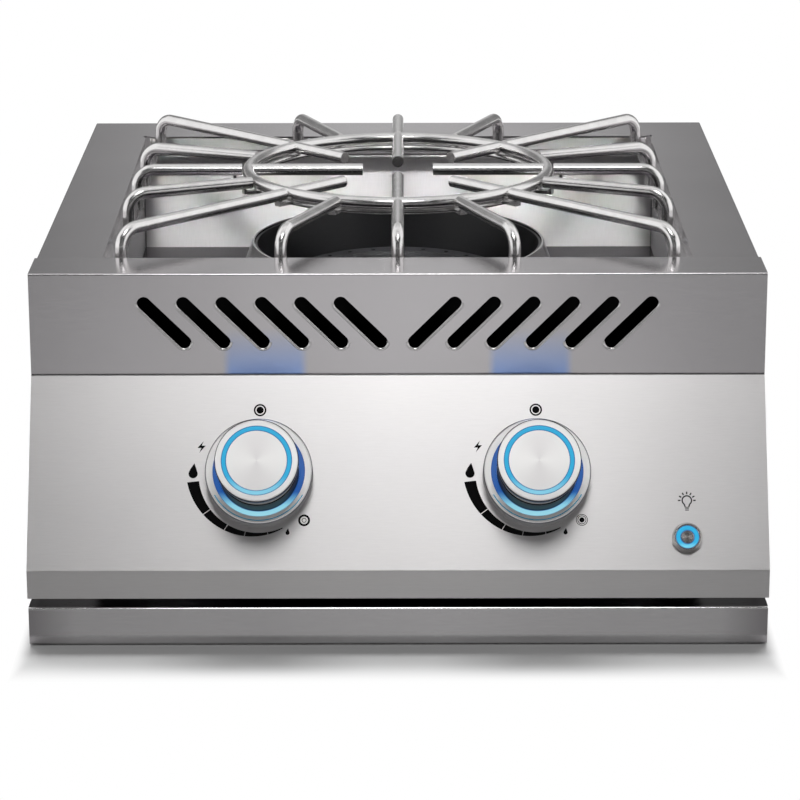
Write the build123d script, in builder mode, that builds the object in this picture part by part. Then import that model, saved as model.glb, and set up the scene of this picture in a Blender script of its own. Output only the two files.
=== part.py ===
from build123d import *
import os
from math import asin, atan2, cos, degrees, pi, sin, tan

os.makedirs("parts", exist_ok=True)

# Built-in gas power burner. All sizes are in millimetres.
# X runs left to right, Y from front to back and Z up.
# The origin is on the burner's axis, in the plane that the unit stands on.

# Stainless sheet and the gaps left between neighbouring pieces
sheet = 1.2
seat_gap = 0.3
weld_gap = 0.05
running_gap = 0.05
corner_seam = 1.0

# Front of the body
body_width = 457.2
fascia_height = 65.0
panel_drop = 108.0
panel_reach = 61.0
lip_height = 18.4
lip_return = 15.0
fold_flange = 12.0
cheek_depth = 22.0
top_strip_overhang = 0.6

# Vent slots in the fascia, one set on each side of the middle
slot_count = 6
slot_pitch = 24.4
slot_first_x = 23.0
slot_below_top = 31.6
slot_length = 35.0
slot_width = 8.7
slot_angle = 45.0

# Deck, its opening and the recessed ledge that carries the grate
axis_setback = 226.0
deck_rear_reach = 236.5
deck_side_inset = 0.6
deck_flange = 22.0
deck_edge_radius = 1.0
deck_border = 42.1
ledge_drop = 12.0
ledge_width = 10.0
corner_relief = 3.0

# Burner box under the deck
box_side_gap = 3.0
corner_flange = 14.0
floor_below_top = 86.0
floor_flange = 12.0
base_flange = 20.0
drain_length = 110.0
drain_width = 12.0
drain_side_gap = 29.5
drain_y = 95.0

# Grate and wok ring, both of round wire
wire_radius = 4.0
wire_above_top = 15.4
rod_count = 16
rod_bend = 12.0
leg_inset = 8.0
corner_rod_pull = 5.0
support_ring_radius = 99.0
support_wire_radius = 2.0
lug_outer_radius = 112.4
lug_thickness = 2.0
lug_width = 5.0
wok_ring_radius = 102.0
rod_end_gap = 0.4
long_finger_tip = 24.0
short_finger_tip = 52.0
finger_count = 8

# Flame guard, bowl and burners
guard_rim_radius = 100.0
guard_foot_radius = 120.0
guard_rim_below_top = 34.0
guard_foot_flange = 8.0
bowl_wall = 1.6
bowl_gap = 0.5
bowl_foot_radius = 88.0
ring_burner_radius = 68.0
ring_burner_width = 24.0
ring_burner_height = 18.0
ring_burner_lift = 9.0
ring_port_count = 24
ring_port_radius = 1.6
ring_port_depth = 6.0
head_radius = 33.0
head_top_below_top = 50.0
head_cap_thickness = 8.0
head_cap_dome = 3.0
head_height = 20.0
head_slot_count = 16
head_slot_width = 2.4
head_slot_depth = 5.0
throat_below_floor = 18.0
throat_wall = 2.5
mix_radius = 12.5
mix_wall = 1.2
mix_bend = 30.0
ring_throat_x = -62.0
ring_throat_y = -28.0

# Knobs, with lengths measured out from the panel
knob_x = 85.7
knob_along = 63.7
bezel_radius = 33.2
bezel_inner_radius = 28.5
bezel_height = 12.0
bezel_floor = 3.0
bezel_spigot_radius = 20.0
bezel_spigot_length = 6.0
light_ring_recess = 1.2
light_ring_depth = 4.0
bezel_edge = 1.2
skirt_radius = 24.6
skirt_wall = 3.0
skirt_top = 27.0
hub_wall = 6.0
knob_face = 43.7
cap_radius = 25.6
cap_thickness = 5.0
cap_edge = 1.0
cap_neck_radius = 24.0
face_ring_outer = 21.6
face_ring_inner = 18.4
face_ring_depth = 1.2
knob_push = 3.5
push_spare = 0.7

# Gas valves behind the panel, with lengths measured in from the panel
stem_radius = 4.0
stem_tail_radius = 2.6
valve_radius = 14.0
valve_nose_radius = 9.0
valve_nose_front = 10.0
valve_front = 20.0
valve_back = 53.0
plug_front = 24.0
plug_back = 50.0
plug_front_radius = 8.0
plug_back_radius = 7.0
plug_bore_end = 42.0
plug_end_gap = 0.3
outlet_in = 38.0
outlet_radius = 8.0
outlet_length = 24.0
orifice_seat_radius = 5.0
orifice_seat_depth = 8.0
orifice_hex = 13.0
orifice_hex_length = 5.0
orifice_tip_radius = 3.5
orifice_tip_length = 6.0
orifice_jet_radius = 0.9
inlet_radius = 7.0
bracket_height = 44.0
bracket_flange = 10.0

# Gas pipe and its inlet fitting
pipe_radius = 10.0
pipe_wall = 2.0
pipe_below_valve = 26.0
pipe_left_end = -112.0
pipe_side_gap = 49.5
pipe_bend = 30.0
pipe_cap = 3.0
inlet_hex = 26.0
inlet_hex_length = 8.0
inlet_thread_radius = 7.9
inlet_thread_length = 18.0
inlet_bore_radius = 4.0
inlet_neck_radius = 9.0

# Air shutters on the mixing tubes
shutter_wall = 1.5
shutter_length = 20.0
shutter_overhang = 2.0
shutter_window = 9.0
mouth_gap = 4.0

# Light switch in the lower right of the panel
switch_side_gap = 50.6
switch_along = 104.0
switch_flange_radius = 9.4
switch_flange_height = 2.0
switch_face = 4.5
switch_collar_radius = 8.2
switch_body_radius = 7.6
switch_body_length = 24.0
switch_ring_outer = 7.2
switch_ring_inner = 4.2
switch_ring_depth = 3.0
switch_button_radius = 3.95
switch_button_length = 9.0
switch_push = 1.5
switch_nut_radius = 10.5
switch_nut_length = 4.0

# Ignition
spark_box_width = 26.0
spark_box_depth = 58.0
spark_box_height = 44.0
spark_box_y = -150.0
spark_box_z = 45.0
electrode_radius = 3.0
electrode_pin_radius = 1.0
electrode_height = 26.0
electrode_pin_height = 9.0
ring_electrode_radius = 42.0
head_electrode_radius = 42.0
electrode_angle = -60.0

# Drip tray and its runners
tray_front_lift = 1.0
tray_front_height = 24.0
tray_front_setback = 3.0
tray_front_return = 12.0
tray_gap = 6.7
tray_side_gap = 12.3
tray_rear_gap = 6.3
tray_height = 16.0
tray_floor_gap = 2.0
tray_rim = 8.0
runner_side_gap = 2.0

# Pan-head screws
screw_head_radius = 3.5
screw_head_height = 2.2
screw_shank_radius = 1.6
screw_shank_length = 7.0
screw_hole_gap = 0.1
ledge_screw_places = (-94.0, 17.0, 94.0)
floor_screw_places = (-120.0, 0.0, 120.0)

# Heights and depths that follow from the sizes above
lip_bottom_z = tray_front_lift + tray_front_height + tray_gap
lip_top_z = lip_bottom_z + lip_height
fold_z = lip_top_z + panel_drop
top_z = fold_z + fascia_height
deck_z = top_z - sheet
ledge_z = top_z - ledge_drop
box_top_z = ledge_z - sheet
floor_z = top_z - floor_below_top
wire_z = top_z + wire_above_top
fascia_y = -axis_setback
lip_y = fascia_y - panel_reach
opening_half = body_width / 2 - deck_border
ledge_half = opening_half - ledge_width
leg_half = opening_half - leg_inset
top_strip_depth = axis_setback - opening_half + top_strip_overhang
box_half = opening_half + box_side_gap
box_inner = box_half - sheet
box_outer = box_half + sheet
drain_x = box_half - drain_side_gap
pipe_right_x = box_half - pipe_side_gap
switch_x = body_width / 2 - switch_side_gap
tray_half = box_inner - tray_side_gap
tray_rear_y = box_inner - tray_rear_gap
slope = atan2(panel_reach, panel_drop)
slope_sin = sin(slope)
slope_cos = cos(slope)


def save(piece, name):
    piece.part.label = name
    export_step(piece.part, f"parts/{name}.step")


def mirrored(piece):
    with BuildPart() as other:
        mirror(piece.part, about=Plane.YZ)
    return other


def turned(plane, outline):
    # Revolves a closed outline of (radius, height) points about the plane's own Y axis.
    with BuildPart() as piece:
        with BuildSketch(plane):
            with BuildLine():
                Polyline(*outline, close=True)
            make_face()
        revolve(axis=Axis(plane.origin, plane.y_dir))
    return piece


def dome(radius, rise, crown):
    # Values for a CenterArc from a dome's edge up to its crown, centred on the axis.
    ball = (radius**2 + rise**2) / (2 * rise)
    spread = degrees(asin(radius / ball))
    return (0, crown - ball), ball, 90 - spread, spread


def control_plane(x, along):
    # Stands on the panel at a control: its X is the panel's X, its Y points out of the panel.
    origin = (x, fascia_y - along * slope_sin, fold_z - along * slope_cos)
    return Plane(origin=origin, x_dir=(1, 0, 0), z_dir=(0, -slope_sin, -slope_cos))


def panel_plane(x, along, out):
    # Lies in the panel, facing out of it, at a control's centre and a height above the panel.
    base = control_plane(x, along)
    return Plane(origin=base.origin + base.y_dir * out, x_dir=(1, 0, 0), z_dir=base.y_dir)


def panel_back_y(z):
    # Depth of the sloping panel's inner face at a height.
    return fascia_y - (fold_z - z) * tan(slope) + sheet / slope_cos


# Sheet edges of the panel, along its inner face
panel_top = (panel_back_y(fold_z - sheet), fold_z - sheet)
lip_inner_y = lip_y + sheet
lip_bend_z = fold_z - (panel_reach + sheet / slope_cos - sheet) / tan(slope)
lip_bend = (lip_inner_y, lip_bend_z)
lip_foot = (lip_inner_y, lip_bottom_z + sheet)

# Top deck: one sheet with a stepped opening, a ledge inside it and edges turned down,
# notched at the front corners for the fascia's side returns
deck_half = body_width / 2 - deck_side_inset
deck_front_y = fascia_y + sheet + seat_gap
deck_depth = deck_rear_reach - deck_front_y
deck_mid_y = (deck_rear_reach + deck_front_y) / 2
ledge_screw_x = opening_half - ledge_width / 2
ledge_screws_at = [(side * ledge_screw_x, y) for side in (-1, 1) for y in ledge_screw_places]
with BuildPart() as top_deck:
    with BuildSketch(Plane.XY.offset(deck_z)):
        with Locations((0, deck_mid_y)):
            Rectangle(2 * deck_half, deck_depth)
    extrude(amount=-deck_flange)
    fillet(top_deck.edges().filter_by(Axis.X).group_by(Axis.Z)[-1].sort_by(Axis.Y)[-1:], deck_edge_radius)
    fillet(top_deck.edges().filter_by(Axis.Y).group_by(Axis.Z)[-1], deck_edge_radius)
    with BuildSketch(Plane.XY.offset(deck_z - sheet)):
        with Locations((0, deck_mid_y - sheet)):
            Rectangle(2 * (deck_half - sheet), deck_depth)
        Rectangle(2 * (opening_half + sheet), 2 * (opening_half + sheet), mode=Mode.SUBTRACT)
    extrude(amount=-deck_flange, mode=Mode.SUBTRACT)
    with BuildSketch(Plane.XY.offset(deck_z - deck_flange)):
        Rectangle(2 * (opening_half + sheet), 2 * (opening_half + sheet))
    extrude(amount=box_top_z - deck_z + deck_flange, mode=Mode.SUBTRACT)
    with BuildSketch(Plane.XY.offset(deck_z)):
        Rectangle(2 * opening_half, 2 * opening_half)
    extrude(amount=ledge_z - deck_z, mode=Mode.SUBTRACT)
    with BuildSketch(Plane.XY.offset(ledge_z)):
        Rectangle(2 * ledge_half, 2 * ledge_half)
        with Locations(*ledge_screws_at):
            Circle(screw_shank_radius + screw_hole_gap)
    extrude(amount=-sheet, mode=Mode.SUBTRACT)
    with BuildSketch(Plane.XY.offset(deck_z)):
        with GridLocations(2 * opening_half, 2 * opening_half, 2, 2):
            Circle(corner_relief)
    extrude(amount=box_top_z - deck_z, mode=Mode.SUBTRACT)
    with BuildSketch(Plane.XY.offset(deck_z)):
        with Locations((-deck_half, deck_front_y), (deck_half, deck_front_y)):
            Rectangle(2 * sheet, 2 * cheek_depth)
    extrude(amount=-deck_flange, mode=Mode.SUBTRACT)
save(top_deck, "top_deck")

# Vent fascia: upright face, top strip lapping the deck, lower flange and side returns
slot_z = top_z - slot_below_top
with BuildPart() as vent_fascia:
    with BuildSketch(Plane.YZ):
        with BuildLine():
            Polyline(
                (fascia_y + top_strip_depth, deck_z),
                (fascia_y + sheet, deck_z),
                (fascia_y + sheet, fold_z + sheet),
                (fascia_y + fold_flange, fold_z + sheet),
            )
            offset(amount=sheet, kind=Kind.ARC, side=Side.RIGHT, closed=True)
        make_face()
    extrude(amount=body_width / 2, both=True)
    for return_x in (-body_width / 2, body_width / 2 - sheet):
        with BuildSketch(Plane.YZ.offset(return_x)):
            with Locations((fascia_y + sheet, fold_z + sheet)):
                Rectangle(cheek_depth - sheet, deck_z - fold_z - sheet, align=(Align.MIN, Align.MIN))
        extrude(amount=sheet)
    with BuildSketch(Plane.XZ.offset(axis_setback)):
        for side in (-1, 1):
            slot_places = [(side * (slot_first_x + i * slot_pitch), slot_z) for i in range(slot_count)]
            with Locations(*slot_places):
                SlotCenterToCenter(slot_length, slot_width, rotation=side * slot_angle)
    extrude(amount=-2 * sheet, mode=Mode.SUBTRACT)
save(vent_fascia, "vent_fascia")

# Control panel: sloping face with an upright lip, folded flanges and closed cheeks
with BuildPart() as control_panel:
    with BuildSketch(Plane.YZ):
        with BuildLine():
            Polyline(
                (fascia_y + fold_flange, fold_z - sheet),
                panel_top,
                lip_bend,
                lip_foot,
                (lip_y + lip_return, lip_bottom_z + sheet),
            )
            offset(amount=sheet, kind=Kind.ARC, side=Side.RIGHT, closed=True)
        make_face()
    extrude(amount=body_width / 2, both=True)
    for cheek_x in (-body_width / 2, body_width / 2 - sheet):
        with BuildSketch(Plane.YZ.offset(cheek_x)):
            with BuildLine():
                Polyline(
                    (fascia_y + cheek_depth, fold_z - sheet),
                    panel_top,
                    lip_bend,
                    lip_foot,
                    (fascia_y + cheek_depth, lip_bottom_z + sheet),
                    close=True,
                )
            make_face()
        extrude(amount=sheet)
    for side in (-1, 1):
        with BuildSketch(panel_plane(side * knob_x, knob_along, 0)):
            Circle(bezel_spigot_radius + screw_hole_gap)
        extrude(amount=-3 * sheet, mode=Mode.SUBTRACT)
    with BuildSketch(panel_plane(switch_x, switch_along, 0)):
        Circle(switch_body_radius + screw_hole_gap)
    extrude(amount=-3 * sheet, mode=Mode.SUBTRACT)
save(control_panel, "control_panel")

# Side walls of the burner box, cut to the front's profile, with a flange under the ledge
# and a flange turned in behind the rear wall
wall_front_y = fascia_y + fold_flange + seat_gap
wall_low_z = lip_bottom_z + 2 * sheet + seat_gap
wall_nose_y = lip_y + lip_return + seat_gap
wall_slope_top_z = fold_z - 2 * sheet
wall_slope_low_z = fold_z - (panel_back_y(fold_z) + seat_gap - wall_nose_y) / tan(slope)
flange_half = ledge_half + seat_gap
corner_y = box_outer + weld_gap
with BuildPart() as side_wall_right:
    with BuildSketch(Plane.YZ.offset(box_half)):
        with BuildLine():
            Polyline(
                (corner_y + sheet, 0),
                (corner_y + sheet, box_top_z),
                (wall_front_y, box_top_z),
                (wall_front_y, wall_slope_top_z),
                (panel_back_y(wall_slope_top_z) + seat_gap, wall_slope_top_z),
                (wall_nose_y, wall_slope_low_z),
                (wall_nose_y, wall_low_z),
                (fascia_y, wall_low_z),
                (fascia_y, 0),
                close=True,
            )
        make_face()
    extrude(amount=sheet)
    with BuildSketch():
        with Locations((box_outer, corner_y)):
            Rectangle(corner_flange, sheet, align=(Align.MAX, Align.MIN))
    extrude(amount=box_top_z)
    with BuildSketch(Plane.XY.offset(box_top_z)):
        with Locations((flange_half, 0)):
            Rectangle(box_outer - flange_half, 2 * opening_half, align=(Align.MIN, Align.CENTER))
        with Locations(*[(ledge_screw_x, y) for y in ledge_screw_places]):
            Circle(screw_shank_radius + screw_hole_gap, mode=Mode.SUBTRACT)
    extrude(amount=-sheet)
    with BuildSketch(Plane.YZ.offset(box_half)):
        with Locations(*[(y, floor_z - sheet - floor_flange / 2) for y in floor_screw_places]):
            Circle(screw_shank_radius + screw_hole_gap)
    extrude(amount=sheet, mode=Mode.SUBTRACT)
side_wall_left = mirrored(side_wall_right)
save(side_wall_right, "side_wall_right")
save(side_wall_left, "side_wall_left")

# Gas train geometry shared by the walls, pipe, valves and mixing tubes
valve_mid = control_plane(knob_x, knob_along)
outlet_y = valve_mid.origin.Y + outlet_in * slope_cos
outlet_z = valve_mid.origin.Z - outlet_in * slope_sin
pipe_z = outlet_z - pipe_below_valve

# Rear and front walls, each with an open seam at the corners and a flange under the ledge
end_wall_half = box_half - corner_seam
end_flange_half = flange_half - corner_seam
with BuildPart() as rear_wall:
    with BuildSketch(Plane.XZ.offset(-box_half)):
        with Locations((0, box_top_z / 2)):
            Rectangle(2 * end_wall_half, box_top_z)
        with Locations((pipe_right_x, pipe_z)):
            Circle(inlet_neck_radius + screw_hole_gap, mode=Mode.SUBTRACT)
    extrude(amount=-sheet)
    with BuildSketch(Plane.XY.offset(box_top_z)):
        with Locations((0, flange_half)):
            Rectangle(2 * end_flange_half, box_outer - flange_half, align=(Align.CENTER, Align.MIN))
    extrude(amount=-sheet)
save(rear_wall, "rear_wall")

with BuildPart() as front_wall:
    with BuildSketch(Plane.XZ.offset(box_half)):
        with Locations((0, floor_z)):
            Rectangle(2 * end_wall_half, box_top_z - floor_z, align=(Align.CENTER, Align.MIN))
    extrude(amount=sheet)
    with BuildSketch(Plane.XY.offset(box_top_z)):
        with Locations((0, -flange_half)):
            Rectangle(2 * end_flange_half, box_outer - flange_half, align=(Align.CENTER, Align.MAX))
    extrude(amount=-sheet)
save(front_wall, "front_wall")

# Well floor with drain slots, turned down all round
floor_half = box_half - seat_gap
throat_radius = mix_radius + running_gap + throat_wall
throat_hole_radius = throat_radius + bowl_gap
throats_at = [(0, 0), (ring_throat_x, ring_throat_y)]
with BuildPart() as well_floor:
    with BuildSketch(Plane.XY.offset(floor_z)):
        Rectangle(2 * floor_half, 2 * floor_half)
    extrude(amount=-sheet - floor_flange)
    with BuildSketch(Plane.XY.offset(floor_z - sheet)):
        Rectangle(2 * (floor_half - sheet), 2 * (floor_half - sheet))
    extrude(amount=-floor_flange, mode=Mode.SUBTRACT)
    with BuildSketch(Plane.XY.offset(floor_z)):
        with Locations(*throats_at):
            Circle(throat_hole_radius)
        with GridLocations(2 * drain_x, 2 * drain_y, 2, 2):
            SlotOverall(drain_length, drain_width, rotation=90)
    extrude(amount=-sheet, mode=Mode.SUBTRACT)
    with BuildSketch(Plane.YZ.offset(-floor_half)):
        with Locations(*[(y, floor_z - sheet - floor_flange / 2) for y in floor_screw_places]):
            Circle(screw_shank_radius + screw_hole_gap)
    extrude(amount=2 * floor_half, mode=Mode.SUBTRACT)
save(well_floor, "well_floor")

# Base pan under the drip tray, open at the front
base_front_y = fascia_y
base_depth = box_half - base_front_y
with BuildPart() as base_pan:
    with BuildSketch():
        with Locations((0, base_front_y)):
            Rectangle(2 * box_half, base_depth, align=(Align.CENTER, Align.MIN))
    extrude(amount=base_flange)
    with BuildSketch(Plane.XY.offset(sheet)):
        with Locations((0, base_front_y)):
            Rectangle(2 * (box_half - sheet), base_depth - sheet, align=(Align.CENTER, Align.MIN))
    extrude(amount=base_flange, mode=Mode.SUBTRACT)
save(base_pan, "base_pan")


# Pan-head screws: a domed head on a plain shank
def screw(seat):
    upright = Plane(origin=seat.origin, x_dir=seat.x_dir, z_dir=-seat.y_dir)
    brow = screw_head_height / 3
    with BuildPart() as piece:
        with BuildSketch(upright):
            with BuildLine():
                Polyline(
                    (0, screw_head_height),
                    (0, -screw_shank_length),
                    (screw_shank_radius, -screw_shank_length),
                    (screw_shank_radius, 0),
                    (screw_head_radius, 0),
                    (screw_head_radius, brow),
                )
                CenterArc(*dome(screw_head_radius, screw_head_height - brow, screw_head_height))
            make_face()
        revolve(axis=Axis(upright.origin, upright.y_dir))
    return piece.part


with BuildPart() as ledge_screws:
    for x, y in ledge_screws_at:
        add(screw(Plane(origin=(x, y, ledge_z))))
save(ledge_screws, "ledge_screws")

with BuildPart() as floor_screws:
    for side in (-1, 1):
        for y in floor_screw_places:
            screw_at = (side * box_outer, y, floor_z - sheet - floor_flange / 2)
            add(screw(Plane(origin=screw_at, x_dir=(0, 1, 0), z_dir=(side, 0, 0))))
save(floor_screws, "floor_screws")

# Grate rods: straight wires that bend down onto the ledge, the corner ones a little short of it
rod_inner = wok_ring_radius + wire_radius + rod_end_gap
rod_foot_z = ledge_z + seat_gap
with BuildPart() as grate_rods:
    for i in range(rod_count):
        turn = 2 * pi * i / rod_count
        reach = leg_half / max(abs(cos(turn)), abs(sin(turn)))
        if i % 4 == 2:
            reach -= corner_rod_pull
        upright = Plane(origin=(0, 0, 0), x_dir=(cos(turn), sin(turn), 0), z_dir=(sin(turn), -cos(turn), 0))
        with BuildLine(upright) as rod_path:
            FilletPolyline((rod_inner, wire_z), (reach, wire_z), (reach, rod_foot_z), radius=rod_bend)
        with BuildSketch(Plane(origin=rod_path.line @ 0, z_dir=rod_path.line % 0)):
            Circle(wire_radius)
        sweep(path=rod_path.line)
save(grate_rods, "grate_rods")

# Support ring under the wok ring, with a cranked lug up to the end of each rod
support_ring_z = wire_z - wire_radius - seat_gap - support_wire_radius
lug_low_z = support_ring_z - lug_thickness / 2
lug_high_z = support_ring_z + lug_thickness / 2
lug_top_z = wire_z - wire_radius - weld_gap
with BuildPart() as grate_ring:
    with Locations((0, 0, support_ring_z)):
        Torus(support_ring_radius, support_wire_radius)
    for i in range(rod_count):
        turn = 2 * pi * i / rod_count
        upright = Plane(origin=(0, 0, 0), x_dir=(cos(turn), sin(turn), 0), z_dir=(sin(turn), -cos(turn), 0))
        with BuildSketch(upright):
            with BuildLine():
                Polyline(
                    (support_ring_radius, lug_low_z),
                    (lug_outer_radius, lug_low_z),
                    (lug_outer_radius, lug_top_z),
                    (lug_outer_radius - lug_thickness, lug_top_z),
                    (lug_outer_radius - lug_thickness, lug_high_z),
                    (support_ring_radius, lug_high_z),
                    close=True,
                )
            make_face()
        extrude(amount=lug_width / 2, both=True)
save(grate_ring, "grate_ring")

# Wok ring: a hoop between the rod ends, resting on the support ring, with fingers coped to its inner side
with BuildPart() as wok_hoop:
    with Locations((0, 0, wire_z)):
        Torus(wok_ring_radius, wire_radius)
save(wok_hoop, "wok_hoop")

with BuildPart() as wok_fingers:
    for i in range(finger_count):
        turn = 2 * pi * i / finger_count
        tip = long_finger_tip if i % 2 == 0 else short_finger_tip
        tip_at = (tip * cos(turn), tip * sin(turn), wire_z)
        with BuildSketch(Plane(origin=tip_at, z_dir=(cos(turn), sin(turn), 0))):
            Circle(wire_radius)
        extrude(amount=wok_ring_radius - tip)
    with Locations((0, 0, wire_z)):
        Torus(wok_ring_radius, wire_radius + weld_gap, mode=Mode.SUBTRACT)
save(wok_fingers, "wok_fingers")

# Flame guard: a cone that flares down to the well floor
guard_rim_z = top_z - guard_rim_below_top
flame_guard = turned(
    Plane.XZ,
    [
        (guard_rim_radius - sheet, guard_rim_z),
        (guard_rim_radius, guard_rim_z),
        (guard_foot_radius, floor_z + sheet),
        (guard_foot_radius + guard_foot_flange, floor_z + sheet),
        (guard_foot_radius + guard_foot_flange, floor_z),
        (guard_foot_radius - sheet, floor_z),
    ],
)
save(flame_guard, "flame_guard")

# Enamelled burner bowl inside the guard: a flared wall round a plate on the well floor
bowl_rim_radius = guard_rim_radius - sheet - bowl_gap
bowl_rim_z = guard_rim_z - sheet
burner_bowl = turned(
    Plane.XZ,
    [
        (bowl_foot_radius - bowl_wall, floor_z),
        (bowl_foot_radius, floor_z),
        (bowl_rim_radius, bowl_rim_z),
        (bowl_rim_radius - bowl_wall, bowl_rim_z),
    ],
)
save(burner_bowl, "burner_bowl")

with BuildPart() as bowl_floor:
    with BuildSketch(Plane.XY.offset(floor_z)):
        Circle(bowl_foot_radius - bowl_wall - weld_gap)
        with Locations(*throats_at):
            Circle(throat_hole_radius, mode=Mode.SUBTRACT)
    extrude(amount=bowl_wall)
save(bowl_floor, "bowl_floor")

# Outer ring burner: a cast ring with ports, feet and a throat for its mixing tube
bowl_floor_z = floor_z + bowl_wall
ring_low_z = bowl_floor_z + ring_burner_lift
ring_top_z = ring_low_z + ring_burner_height
throat_low_z = floor_z - throat_below_floor
ring_inner = ring_burner_radius - ring_burner_width / 2
ring_outer = ring_burner_radius + ring_burner_width / 2
ring_bevel = ring_burner_width / 4
foot_size = ring_burner_width / 2
with BuildPart() as ring_burner:
    with BuildSketch(Plane.XZ):
        with BuildLine():
            Polyline(
                (ring_inner, ring_low_z),
                (ring_outer, ring_low_z),
                (ring_outer, ring_top_z - ring_bevel),
                (ring_outer - ring_bevel, ring_top_z),
                (ring_inner + ring_bevel, ring_top_z),
                (ring_inner, ring_top_z - ring_bevel),
                close=True,
            )
        make_face()
    revolve(axis=Axis.Z)
    with BuildSketch(Plane.XY.offset(bowl_floor_z)):
        with PolarLocations(ring_burner_radius, 3, start_angle=90):
            Rectangle(foot_size, foot_size)
    extrude(amount=ring_burner_lift)
    with BuildSketch(Plane.XY.offset(throat_low_z)):
        with Locations((ring_throat_x, ring_throat_y)):
            Circle(throat_radius)
    extrude(amount=ring_low_z + ring_burner_height / 2 - throat_low_z)
    with BuildSketch(Plane.XY.offset(throat_low_z)):
        with Locations((ring_throat_x, ring_throat_y)):
            Circle(mix_radius + running_gap)
    extrude(amount=ring_low_z - throat_low_z, mode=Mode.SUBTRACT)
    with BuildSketch(Plane.XY.offset(ring_top_z)):
        with PolarLocations(ring_burner_radius, ring_port_count):
            Circle(ring_port_radius)
    extrude(amount=-ring_port_depth, mode=Mode.SUBTRACT)
save(ring_burner, "ring_burner")

# Inner burner head: a flared casting on its own throat, slotted round the rim
head_top_z = top_z - head_top_below_top
head_rim_z = head_top_z - head_cap_thickness
head_low_z = head_rim_z - head_height
head_bore = mix_radius + running_gap
with BuildPart() as inner_burner:
    with BuildSketch(Plane.XZ):
        with BuildLine():
            Polyline(
                (head_bore, throat_low_z),
                (throat_radius, throat_low_z),
                (throat_radius, head_low_z),
                (head_radius - throat_wall, head_rim_z - head_slot_depth),
                (head_radius - throat_wall, head_rim_z),
                (head_radius - 2 * throat_wall, head_rim_z),
                (head_radius - 2 * throat_wall, head_rim_z - head_slot_depth),
                (head_bore, head_low_z),
                close=True,
            )
        make_face()
    revolve(axis=Axis.Z)
    with BuildSketch(Plane.XY.offset(head_rim_z)):
        with PolarLocations(head_radius - 2 * throat_wall, head_slot_count):
            Rectangle(4 * throat_wall, head_slot_width)
    extrude(amount=-head_slot_depth / 2, mode=Mode.SUBTRACT)
save(inner_burner, "inner_burner")

# Loose cap on the inner burner head, slightly domed
with BuildPart() as burner_cap:
    with BuildSketch(Plane.XZ):
        with BuildLine():
            Polyline(
                (0, head_top_z),
                (0, head_rim_z),
                (head_radius, head_rim_z),
                (head_radius, head_top_z - head_cap_dome),
            )
            CenterArc(*dome(head_radius, head_cap_dome, head_top_z))
        make_face()
    revolve(axis=Axis.Z)
save(burner_cap, "burner_cap")

# Mixing tubes from the orifices to the burner throats, with their air shutters
outlet_end_y = outlet_y + outlet_length
orifice_end_y = outlet_end_y + orifice_hex_length + orifice_tip_length
mouth_y = orifice_end_y - mouth_gap
shutter_inner = mix_radius + running_gap
throat_seat_z = floor_z - seat_gap


def mixing_tube(x, throat_x, throat_y):
    ends = [(x, mouth_y, outlet_z), (throat_x, throat_y, outlet_z), (throat_x, throat_y, throat_seat_z)]
    with BuildPart() as tube:
        with BuildLine() as path:
            FilletPolyline(*ends, radius=mix_bend)
        with BuildSketch(Plane(origin=path.line @ 0, z_dir=path.line % 0)):
            Circle(mix_radius)
            Circle(mix_radius - mix_wall, mode=Mode.SUBTRACT)
        sweep(path=path.line)
    return tube


def air_shutter(x, throat_x, throat_y):
    # A sleeve round the tube's mouth, with windows that let in air.
    run = Vector(throat_x - x, throat_y - mouth_y, 0).normalized()
    start = Vector(x, mouth_y, outlet_z) - run * shutter_overhang
    along = Plane(origin=start, z_dir=run)
    with BuildPart() as sleeve:
        with BuildSketch(along):
            Circle(shutter_inner + shutter_wall)
            Circle(shutter_inner, mode=Mode.SUBTRACT)
        extrude(amount=shutter_length)
        with BuildSketch(Plane(origin=start + run * shutter_length / 2, x_dir=run, z_dir=(0, 0, 1))):
            Rectangle(shutter_window, shutter_window)
        extrude(amount=2 * mix_radius, both=True, mode=Mode.SUBTRACT)
    return sleeve


save(mixing_tube(-knob_x, ring_throat_x, ring_throat_y), "ring_mixing_tube")
save(mixing_tube(knob_x, 0, 0), "inner_mixing_tube")
save(air_shutter(-knob_x, ring_throat_x, ring_throat_y), "ring_air_shutter")
save(air_shutter(knob_x, 0, 0), "inner_air_shutter")

# Gas pipe from the rear inlet to both valves, closed at its far end
pipe_ends = [
    (pipe_left_end, outlet_y, pipe_z),
    (pipe_right_x, outlet_y, pipe_z),
    (pipe_right_x, box_half - sheet - seat_gap, pipe_z),
]
with BuildPart() as gas_pipe:
    with BuildLine() as pipe_path:
        FilletPolyline(*pipe_ends, radius=pipe_bend)
    with BuildSketch(Plane(origin=pipe_path.line @ 0, z_dir=pipe_path.line % 0)):
        Circle(pipe_radius)
        Circle(pipe_radius - pipe_wall, mode=Mode.SUBTRACT)
    sweep(path=pipe_path.line)
    with BuildSketch(Plane(origin=pipe_path.line @ 0, z_dir=pipe_path.line % 0)):
        Circle(pipe_radius)
    extrude(amount=pipe_cap)
save(gas_pipe, "gas_pipe")

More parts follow.
